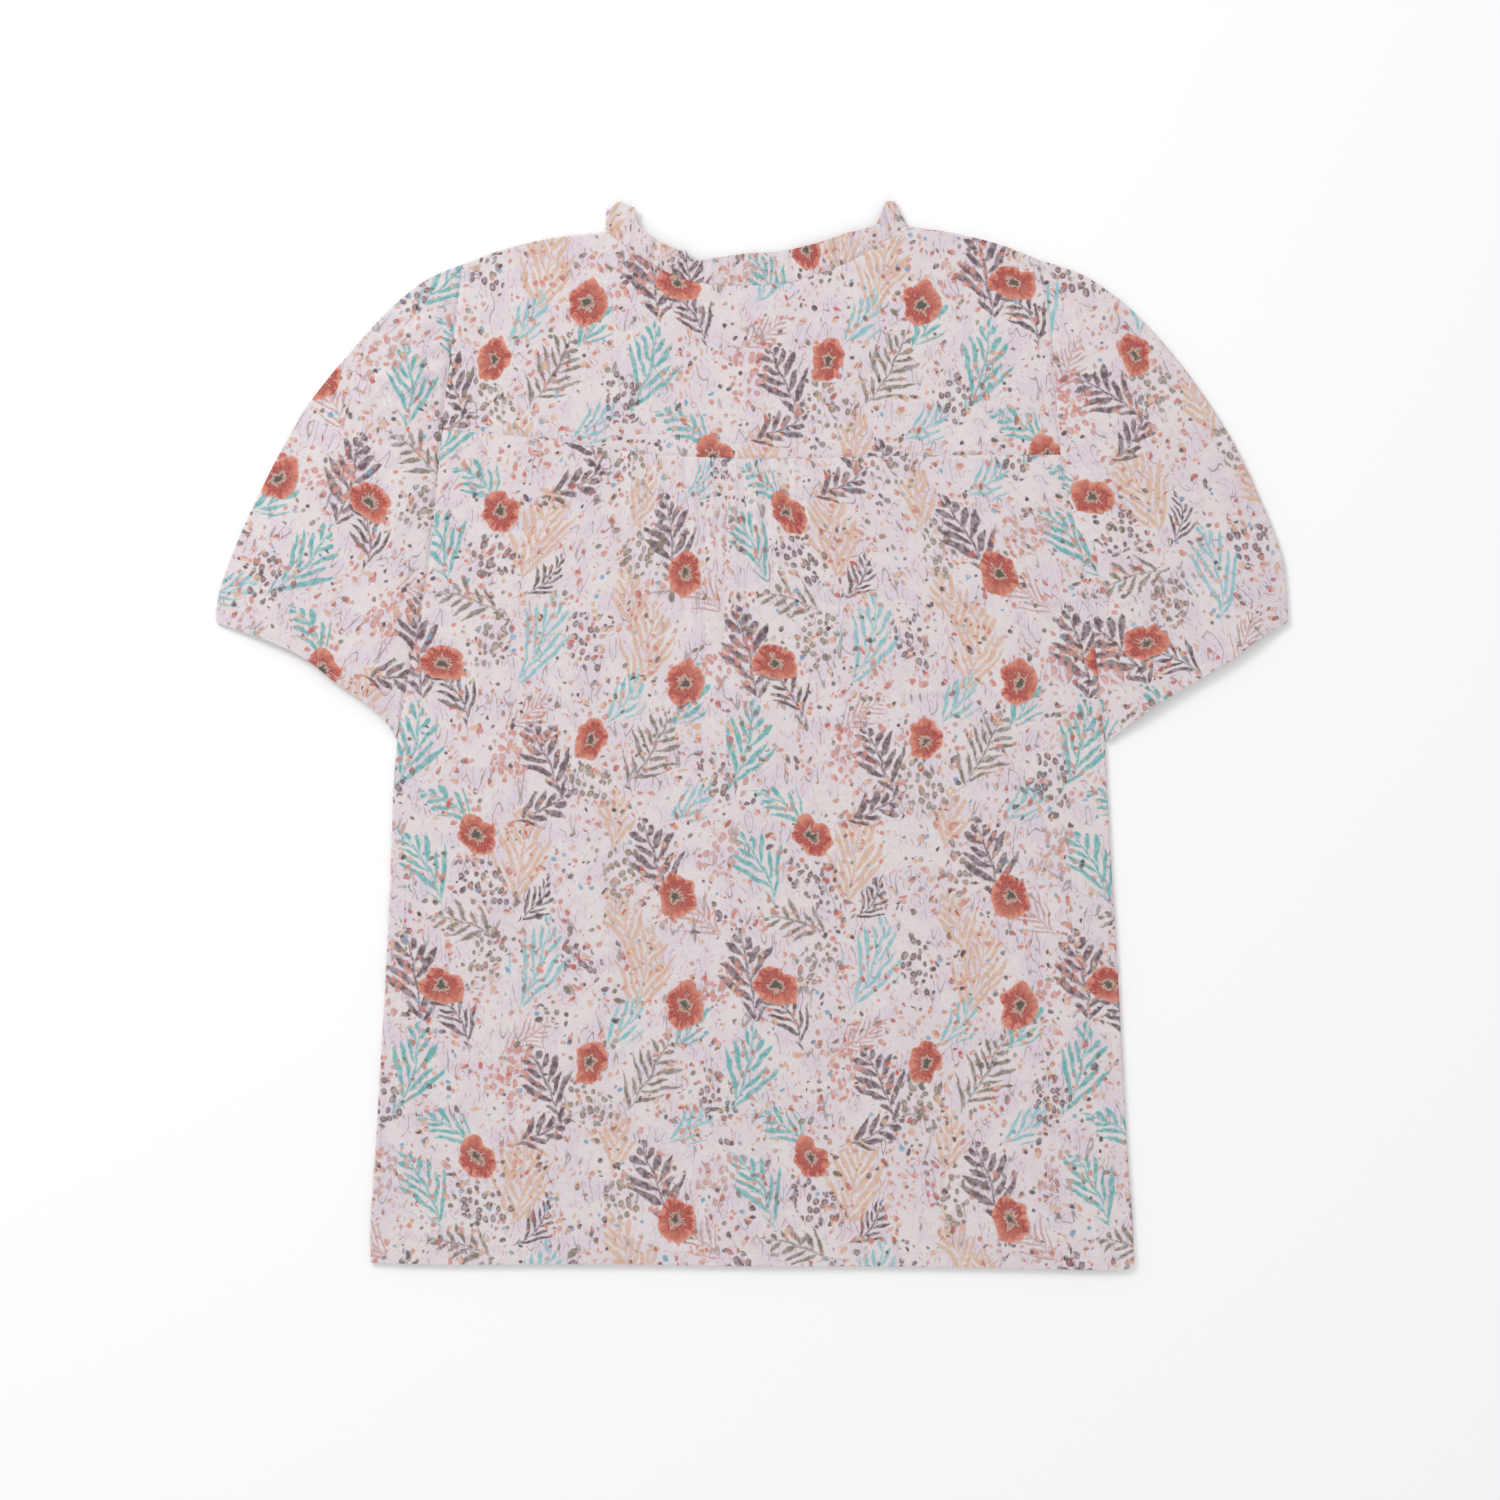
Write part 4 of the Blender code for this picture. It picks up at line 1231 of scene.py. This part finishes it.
def blend(place, stops, interpolation="LINEAR"):
    """Looks up a colour and a fourth number by a place from 0 to 1.

    Each stop is a place and its four numbers.
    """
    colour, last = node("ShaderNodeValToRGB", {0: place}, result=("Color", "Alpha"))
    ramp = colour.socket.node.color_ramp
    ramp.interpolation = interpolation
    while len(ramp.elements) < len(stops):
        ramp.elements.new(1.0)
    for element, (position, numbers) in zip(ramp.elements, stops):
        element.position = position
        element.color = numbers
    return colour, last


def bands(place, rows, early=0.0):
    """The same for rows that hold in even bands, each begun early by a share of a band."""
    stops = [(max(0.0, (index - early) / len(rows)), row) for index, row in enumerate(rows)]
    return blend(place, stops, "CONSTANT")


Spot = namedtuple("Spot", "right up turn size kind")
EMPTY = Spot(0.0, 0.0, 0.0, 0.0, None)


class Chart:
    """Where one kind of motif stands in the repeat: a row for each cell of a coarse grid.

    Right, up and turn run from -1 to 1 of what the chart allows. Rows run from the lower
    left cell to the right, then up.
    """

    def __init__(self, columns, rows, shift, reach, turn, spots):
        self.columns = columns
        self.rows = rows
        self.shift = shift
        self.reach = reach
        self.turn = math.radians(turn)
        self.spots = [Spot(*row) for row in spots]

    def place(self, cloth, repeat):
        """A point's place in millimetres from its cell's motif, 1 if it has one, its number."""
        width = repeat[0] / self.columns
        height = repeat[1] / self.rows
        in_cells = scaled_sum(cloth, (1 / width, 1 / height, 0.0), (*self.shift, 0.0))
        limits = {0: in_cells, 1: (self.columns, self.rows, 1.0), 2: (0.0, 0.0, 0.0)}
        in_repeat = node("ShaderNodeVectorMath", limits, operation="WRAP")
        cell = node("ShaderNodeVectorMath", {0: in_repeat}, operation="FLOOR")
        number = dot(cell, (1 / len(self.spots), self.columns / len(self.spots), 0.0))
        rows = []
        for spot in self.spots:
            x = width / 2 + spot.right * self.reach[0]
            y = height / 2 + spot.up * self.reach[1]
            shrink = 1 / spot.size if spot.size else 0.0
            rows.append((x, y, spot.turn * self.turn % (2 * math.pi), shrink))
        where, shrink = bands(number, rows, early=0.5)
        inner = node("ShaderNodeVectorMath", {0: in_cells}, operation="FRACTION")
        local = scaled_sum(where, (-1.0, -1.0, 0.0), inner * (width, height, 0.0))
        local = rotated(local, split(where)[2]) * shrink
        if EMPTY in self.spots:
            return local, call("GREATER_THAN", shrink, 0.1), number
        return local, None, number

    def by_kind(self, number, table):
        """What the table holds for the kind of the motif in this cell."""
        return bands(number, [table[spot.kind] for spot in self.spots], early=0.5)


POPPIES = Chart(columns=3, rows=2, shift=(0.10, 0.25), reach=(19.0, 34.0), turn=170, spots=(
    (-0.6, 0.7, 0.1, 1.00, None),
    (0.7, -0.8, 0.7, 0.94, None),
    (0.1, 0.3, -0.5, 1.06, None),
    (0.6, 0.5, -0.8, 0.96, None),
    EMPTY,
    (-0.2, -0.7, 0.4, 1.04, None),
))
TALL_SPRIGS = Chart(columns=3, rows=3, shift=(0.42, 0.62), reach=(9.0, 6.0), turn=34, spots=(
    (-0.7, 0.6, 0.5, 1.00, "teal"),
    (0.8, -0.5, -0.7, 0.86, "plum"),
    (0.5, 0.3, 0.9, 0.92, "olive"),
    (-0.6, -0.8, -0.3, 1.04, "plum"),
    (0.4, 0.6, 0.6, 1.00, "grass"),
    (0.0, 0.0, 0.3, 0.95, "peach"),
    (0.2, -0.4, -0.8, 0.90, "teal"),
    (-0.9, 0.8, 0.2, 1.02, "peach"),
    (0.7, 0.1, -0.5, 0.95, "plum"),
))
SMALL_SPRIGS = Chart(columns=4, rows=3, shift=(0.05, 0.15), reach=(8.0, 10.0), turn=80, spots=(
    (0.4, 0.6, -0.4, 1.00, "twig"),
    (-0.5, -0.7, 0.7, 0.85, "blush"),
    (0.7, 0.2, 0.4, 0.90, "grass"),
    (-0.8, 0.2, 0.3, 0.95, "teal"),
    (0.9, -0.3, -0.9, 1.04, "olive"),
    (0.2, 0.9, 0.5, 0.80, "twig"),
    (0.3, -0.2, -0.2, 1.00, "peach"),
    (-0.6, 0.4, -0.6, 1.02, "blush"),
    (-0.4, 0.5, -0.7, 0.90, "teal"),
    (0.8, 0.1, 0.8, 0.92, "plum"),
    (-0.2, -0.6, 0.1, 0.95, "peach"),
    (-0.7, 0.4, 0.6, 0.88, "grass"),
))
HEAPS = Chart(columns=3, rows=3, shift=(0.80, 0.72), reach=(16.0, 15.0), turn=60, spots=(
    (0.1, -0.6, -0.3, 1.00, "plum"),
    (0.7, 0.4, 0.3, 1.05, "coral"),
    (-0.6, -0.8, -0.6, 1.10, "olive"),
    (0.5, -0.2, 0.8, 0.95, "coral"),
    (-0.3, 0.7, 0.5, 1.10, "olive"),
    (-0.9, 0.7, -0.2, 1.00, "plum"),
    (0.2, 0.9, 0.5, 1.05, "blush"),
    (-0.4, -0.5, -0.9, 1.10, "plum"),
    (0.8, -0.1, 0.1, 1.00, "olive"),
))

# How the sprigs of each kind grow: leaves a millimetre of stem, how steeply they rise,
# four times their width, and how far the stem bends.
SPRIG_KINDS = {
    "teal": (0.085, 1.70, 9.5, 22.0),
    "plum": (0.105, 1.00, 12.0, 8.0),
    "twig": (0.125, 1.30, 9.5, 26.0),
    "olive": (0.130, 0.90, 8.5, 14.0),
    "blush": (0.160, 1.40, 7.5, 4.0),
    "peach": (0.100, 1.80, 11.5, 10.0),
    "grass": (0.062, 2.70, 8.5, 16.0),
}
LEAF_GAP = 8.0  # the gap between leaves, in millimetres, that their width goes with

# The colour of each kind of sprig and heap.
KIND_INKS = {
    "teal": "teal",
    "plum": "plum",
    "twig": "twig",
    "olive": "olive",
    "blush": "rose",
    "peach": "peach",
    "coral": "coral",
    "grass": "teal_light",
}

# Grain in millimetres of the soft noises behind the print.
STRAY_GRAIN = 15.0  # how drawn lines stray
WASH_GRAIN = 4.0  # how thick the ink lies
EDGE_GRAIN = 1.9  # how rough its edges are
PATCH_GRAIN = 30.0
REGION_GRAIN = 17.0


def sprig(local, kinds, tall, reach, stem):
    """How far inside a leafy sprig a point is, in millimetres, and below 0 outside.

    Leaves leave the stem in turn to the left and the right, longest at mid height.
    """
    rate, slope, width = split(kinds[0])
    x, y, _ = split(local)
    off = scaled_sum(y, 1 / tall, 0.05)
    x = scaled_sum(off * off, kinds[1], x)  # from here on, measured from the bent stem
    side = call("SIGN", x)
    aside = call("ABSOLUTE", x)
    # Where a point's leaf leaves the stem, counted in leaves: the sides are half a leaf apart.
    foot = scaled_sum(side, 0.25, (y - aside * slope) * rate)
    from_axis = call("PINGPONG", foot, 0.5)
    row = call("ROUND", foot)
    uneven = call("SINE", scaled_sum(row, 2.4, side))
    bell = call("SINE", scaled_sum(y, math.pi / tall, math.pi / 2))
    out = aside / (scaled_sum(uneven, 0.26 * reach, 0.86 * reach) * bell)
    leaves = scaled_sum(out * (1.0 - out), width, from_axis * -LEAF_GAP)
    stalk = scaled_sum(aside, -1.0, bell * stem)
    return call("MAXIMUM", leaves, stalk)


class Paint:
    """The print's colours as plain tuples."""

    def __init__(self, colours):
        for name in PrintColours.__annotations__:
            setattr(self, name, tuple(getattr(colours, name)))


def thinned(tone, ground, strength):
    """A tone as it looks on the ground when the ink is this strong."""
    return tuple(g + strength * (t - g) for t, g in zip(tone, ground))


class Meadow:
    """The print, painted from the ground up on cloth coordinates in millimetres."""

    def __init__(self, cloth, paint, sizes):
        self.paint = paint
        self.repeat = (sizes.repeat_width / MM, sizes.repeat_height / MM)
        stray = blot(cloth, STRAY_GRAIN, result="Color")
        wobble = 7 * sizes.wobble / MM  # the noise itself varies by about a seventh
        self.drawn = scaled_sum(stray, (wobble, wobble, 0.0), cloth)
        self.wash = blot(cloth, WASH_GRAIN, 2.0)
        self.rough = scaled_sum(blot(cloth, EDGE_GRAIN), 1.5, -0.75)
        self.patches = blot(cloth, PATCH_GRAIN)
        self.region = blot(cloth + (300.0, 140.0, 0.0), REGION_GRAIN)
        self.body = scaled_sum(step(self.wash, 0.30, 0.66), 0.34, 0.62)
        self.colour = None

    def lay(self, inside, over, *strengths, low=-0.9, high=0.9):
        """Lays a colour where inside is above 0, a shape with a hand-painted edge."""
        amount = step(inside, low, high)
        for strength in strengths:
            if strength is not None:
                amount = amount * strength
        self.colour = mix(amount, self.colour, over)

    def ground(self):
        paint = self.paint
        colour = mix(step(self.patches, 0.40, 0.60), paint.mist, paint.ground)
        colour = mix(step(self.region, 0.46, 0.66) * 0.7, colour, paint.lilac)
        self.colour = mix(step(self.wash, 0.42, 0.85) * 0.5, colour, paint.blush)

    def marks(self, pitch, long, wide, chance, tones, near, swing):
        """Dabs of uneven size and direction, in tones that change by area."""
        _, random, position = cells(self.drawn, pitch)
        picks = split(random)
        local = (self.drawn - position) * scaled_sum(picks[1], 1.8, 0.9)
        local = rotated(local, scaled_sum(picks[0], swing, -swing / 2))
        share = length(local * (2 / wide, 2 / long, 0.0))
        tone, _ = bands(scaled_sum(picks[2], 0.4, near), tones)
        soft = 0.8 / wide
        chosen = call("LESS_THAN", picks[1], chance)
        self.lay(share, tone, chosen, self.body, low=1 + soft, high=1 - soft)

    def dots(self, pitch, big, chance, tones):
        """Round dots of uneven size."""
        distance, random, _ = cells(self.drawn, pitch)
        picks = split(random)
        inside = scaled_sum(distance, -pitch, scaled_sum(picks[1], big * 0.25, big * 0.25))
        tone, _ = bands(picks[2], tones)
        chosen = call("LESS_THAN", picks[0], chance)
        self.lay(inside, tone, chosen, self.body, low=-0.5, high=0.6)

    def strokes(self, grain, wide, tone, chance):
        """Broken pencil lines that wander up the cloth."""
        height = blot(self.drawn * (1.0, 0.3, 0.0), grain)
        line = scaled_sum(call("PINGPONG", height * 5.0, 0.5), grain, -wide)
        self.lay(line, tone, step(chance, 0.5, 0.6), self.body, low=0.5, high=-0.3)

    def motifs(self, chart):
        """A point's place in its motif, 1 if there is one, the motif's number and tone."""
        local, present, number = chart.place(self.drawn, self.repeat)
        inks = {kind: getattr(self.paint, name) for kind, name in KIND_INKS.items()}
        return local, present, number, chart.by_kind(number, inks)[0]

    def sprigs(self, chart, tall, reach, stem):
        """Leafy sprigs, this tall, with leaves that reach this far from the stem."""
        local, present, number, tone = self.motifs(chart)
        inside = sprig(local, chart.by_kind(number, SPRIG_KINDS), tall, reach, stem)
        self.lay(inside + self.rough, tone, self.body, present)

    def heaps(self, chart, size, pitch):
        """Loose heaps of berries and petals, each with a lighter middle."""
        local, present, _, tone = self.motifs(chart)
        heap = scaled_sum(self.region, 18.0, size - 9.0) - length(local * (1.25, 0.8, 0.0))
        distance, random, _ = cells(self.drawn * (1.0, 0.8, 0.0), pitch, 0.9)
        picks = split(random)
        berry = scaled_sum(distance, -pitch, scaled_sum(picks[0], pitch * 0.18, pitch * 0.24))
        tone = mix(step(berry, 0.7, 1.4) * 0.4, tone, self.paint.peach)
        self.lay(berry, tone, step(heap, 0.0, 2.0), self.body, present, low=-0.5, high=0.6)

    def poppies(self, chart, radius):
        """Round poppies: a dark heart, a broken pale ring and streaked red petals."""
        paint = self.paint
        local, present, number = chart.place(self.drawn, self.repeat)
        towards = node("ShaderNodeVectorMath", {0: local}, operation="NORMALIZE")
        spot = number * 40.0
        way = towards + node("ShaderNodeCombineXYZ", {0: spot, 1: spot})
        edge = scaled_sum(blot(way, 0.9), radius * 0.6, radius * 0.71)
        share = length(local * (0.93, 1.24, 0.0)) / edge
        rings = (
            (0.00, paint.pistil),
            (0.15, paint.pistil),
            (0.25, paint.stamen),
            (0.31, paint.stamen),
            (0.40, paint.poppy_dark),
            (0.54, paint.poppy),
            (0.66, paint.poppy_dark),
            (0.78, paint.poppy),
            (1.00, paint.poppy_light),
        )
        streaks = blot(way, 0.22) + self.wash - 1.0
        place = scaled_sum(streaks, scaled_sum(share, 0.7, 0.2), share)
        tone, _ = blend(place, rings)
        sunny = step(dot(towards, (0.6, -0.8, 0.0)), -0.2, 1.0) * step(place, 0.4, 0.7)
        tone = mix(sunny * 0.45, tone, paint.poppy_light)
        inside = (1.0 - share) * radius
        self.lay(inside + self.rough, tone, present)


def meadow(cloth, paint, sizes):
    """The whole print, from the ground up."""
    work = Meadow(cloth, paint, sizes)
    work.ground()
    by_region = scaled_sum(work.region, 1.8, -0.6)
    by_patch = scaled_sum(work.patches, 1.6, -0.5)
    clumps = scaled_sum(work.region, 5.0, -2.0)
    tones = (paint.peach, paint.blush, paint.rose, paint.coral, paint.rose, paint.olive)
    tones = [thinned(tone, paint.ground, 0.8) for tone in tones]
    work.marks(pitch=4.0, long=5.0, wide=1.0, swing=1.8,
               chance=clumps, tones=tones, near=by_patch)
    tone = thinned(paint.olive, paint.ground, 0.75)
    work.strokes(grain=13.0, wide=0.6, tone=tone, chance=work.region)
    work.sprigs(TALL_SPRIGS, tall=64.0, reach=21.0, stem=0.9)
    work.sprigs(SMALL_SPRIGS, tall=46.0, reach=14.0, stem=0.7)
    work.heaps(HEAPS, size=16.0, pitch=5.2)
    tones = (paint.plum, paint.peach, paint.coral, paint.peach, paint.poppy, paint.olive)
    chance = scaled_sum(work.patches, 3.0, -1.2)
    work.marks(pitch=7.2, long=6.8, wide=3.8, swing=2.6,
               chance=chance, tones=tones, near=by_region)
    tones = (paint.coral, paint.olive, paint.rose, paint.twig, paint.poppy_light, paint.rose,
             paint.coral, paint.plum, paint.peach, paint.blue, paint.coral, paint.olive)
    chance = scaled_sum(work.region, -3.0, 1.62)
    work.dots(pitch=5.6, big=4.0, chance=chance, tones=tones)
    work.poppies(POPPIES, radius=13.6)
    return work.colour


def start_material(name, roughness, specular):
    """A new material that shader nodes are added to, and its surface."""
    material = bpy.data.materials.new(name)
    material.use_nodes = True
    Ink.tree = material.node_tree
    surface = material.node_tree.nodes["Principled BSDF"]
    surface.inputs["Roughness"].default_value = roughness
    surface.inputs["Specular IOR Level"].default_value = specular
    return material, surface


def cover(surface, colour, relief, strength, depth):
    """Gives a surface its colour and a fine relief, this deep in millimetres."""
    inputs = {"Strength": strength, "Distance": depth * MM, "Height": relief}
    bump = node("ShaderNodeBump", inputs)
    Ink.tree.links.new(surface.inputs["Base Color"], colour.socket)
    Ink.tree.links.new(surface.inputs["Normal"], bump.socket)


@cache
def cotton():
    """The printed cotton: the meadow on cloth with slubs and a fine crinkle."""
    scene = bpy.context.scene
    material, surface = start_material("printed_cotton", roughness=0.9, specular=0.2)
    flat = node("ShaderNodeUVMap", {}, uv_map="cloth")
    cloth = flat * (1 / MM, 1 / MM, 0.0)
    colour = meadow(cloth, Paint(scene.blouse_colours), scene.blouse_print)
    slubs = blot(cloth * (0.16, 1.0, 0.0), 0.8)
    colour = colour * scaled_sum(slubs, 0.09, 0.955)
    cover(surface, colour, blot(cloth, 2.4, 2.0), strength=0.7, depth=0.17)
    return material


@cache
def thread():
    """Pale sewing thread with a fine twist."""
    material, surface = start_material("sewing_thread", roughness=0.6, specular=0.5)
    place = node("ShaderNodeTexCoord", {}, result="Object")
    twist = blot(place * (1 / MM), 0.5, 2.0)
    colour = mix(twist, (0.55, 0.47, 0.49, 1.0), (0.72, 0.64, 0.66, 1.0))
    cover(surface, colour, twist, strength=0.4, depth=0.1)
    return material


# ---------------------------------------------------------------- studio


def make_studio(sizes):
    """Pale floor, soft lamp from the upper left, pale surroundings and the camera."""
    bpy.ops.object.select_all(action="DESELECT")
    bpy.ops.mesh.primitive_plane_add(size=sizes.floor, location=(0, 0, 0))
    floor = bpy.context.object
    floor.name = "floor"
    material, surface = start_material("pale_floor", roughness=1.0, specular=0.0)
    surface.inputs["Base Color"].default_value = (FLOOR_GREY, FLOOR_GREY, FLOOR_GREY, 1.0)
    floor.data.materials.append(material)

    lamp = bpy.data.lights.new("soft_lamp", "AREA")
    lamp.shape = "DISK"
    lamp.size = LAMP_SIZE
    lamp.energy = sizes.lamp_power
    holder = add_object("soft_lamp", lamp)
    holder.location = LAMP_AT
    aim = -holder.location
    holder.rotation_euler = aim.to_track_quat("-Z", "Y").to_euler()

    world = bpy.data.worlds.new("pale_surroundings")
    world.use_nodes = True
    background = world.node_tree.nodes["Background"]
    background.inputs["Color"].default_value = (1.0, 1.0, 1.0, 1.0)
    background.inputs["Strength"].default_value = sizes.fill
    bpy.context.scene.world = world
    bpy.context.scene.view_settings.view_transform = "Standard"

    lens = bpy.data.cameras.new("camera")
    lens.lens = sizes.lens
    lens.sensor_width = 36.0
    camera = add_object("camera", lens)
    camera.location = (*CAMERA_AT, sizes.camera_height)
    bpy.context.scene.camera = camera


# ---------------------------------------------------------------- operators and panel

_lines = {}  # where each hem is sewn, kept for the stitching


class BLOUSE_OT_front(Operator):
    """Make the front panel"""

    bl_idname = "blouse.front"
    bl_label = "Front"

    def execute(self, context):
        make_front(context.scene.blouse_cloth)
        return {"FINISHED"}


class BLOUSE_OT_back(Operator):
    """Make the yoke and the gathered panel under it"""

    bl_idname = "blouse.back"
    bl_label = "Back"

    def execute(self, context):
        sizes = context.scene.blouse_cloth
        make_back_yoke(sizes)
        grid, above_hem = make_back_body(sizes, context.scene.blouse_gathers)
        _lines["hem"] = line_at(grid, above_hem, sizes.body_hem / MM - HEM_STITCHES_IN)
        return {"FINISHED"}


class BLOUSE_OT_sleeves(Operator):
    """Make both puff sleeves"""

    bl_idname = "blouse.sleeves"
    bl_label = "Sleeves"

    def execute(self, context):
        sizes = context.scene.blouse_cloth
        for name, side in SIDES.items():
            grid, above_cuff = make_sleeve(
                "sleeve_" + name, side, sizes, context.scene.blouse_gathers)
            row = sizes.cuff_hem / MM - HEM_STITCHES_IN
            _lines[name] = line_at(grid, above_cuff, row)
        return {"FINISHED"}


class BLOUSE_OT_frill(Operator):
    """Make the gathered frill round the neck"""

    bl_idname = "blouse.frill"
    bl_label = "Neck frill"

    def execute(self, context):
        make_neck_frill(context.scene.blouse_cloth, context.scene.blouse_frill)
        return {"FINISHED"}


class BLOUSE_OT_stitching(Operator):
    """Sew the hems"""

    bl_idname = "blouse.stitching"
    bl_label = "Stitching"

    def execute(self, context):
        if not _lines:
            raise RuntimeError("make the back and the sleeves before their stitching")
        lift = context.scene.blouse_cloth.thickness / 2
        stitch_rows("hem_stitches", _lines.values(), context.scene.blouse_stitches, lift)
        return {"FINISHED"}


class BLOUSE_OT_studio(Operator):
    """Set up the floor, light and camera"""

    bl_idname = "blouse.studio"
    bl_label = "Studio"

    def execute(self, context):
        make_studio(context.scene.blouse_studio)
        return {"FINISHED"}


class BLOUSE_PT_sidebar(Panel):
    """The blouse's sizes, colours and pieces"""

    bl_label = "Frilled Blouse"
    bl_idname = "BLOUSE_PT_sidebar"
    bl_space_type = "VIEW_3D"
    bl_region_type = "UI"
    bl_category = "Blouse"

    def draw(self, context):
        for name, group in GROUPS.items():
            box = self.layout.box()
            for setting in group.__annotations__:
                box.prop(getattr(context.scene, name), setting)
        for operator in OPERATORS:
            self.layout.operator(operator.bl_idname)


OPERATORS = (
    BLOUSE_OT_front,
    BLOUSE_OT_back,
    BLOUSE_OT_sleeves,
    BLOUSE_OT_frill,
    BLOUSE_OT_stitching,
    BLOUSE_OT_studio,
)


def register():
    for kind in (*GROUPS.values(), *OPERATORS, BLOUSE_PT_sidebar):
        bpy.utils.register_class(kind)
    for name, group in GROUPS.items():
        setattr(bpy.types.Scene, name, PointerProperty(type=group))


def unregister():
    for name in GROUPS:
        delattr(bpy.types.Scene, name)
    for kind in (BLOUSE_PT_sidebar, *reversed(OPERATORS), *reversed(GROUPS.values())):
        bpy.utils.unregister_class(kind)


def main():
    register()
    bpy.ops.object.select_all(action="DESELECT")
    bpy.ops.blouse.studio()
    bpy.ops.blouse.front()
    bpy.ops.blouse.back()
    bpy.ops.blouse.sleeves()
    bpy.ops.blouse.frill()
    bpy.ops.blouse.stitching()


if __name__ == "__main__":
    main()
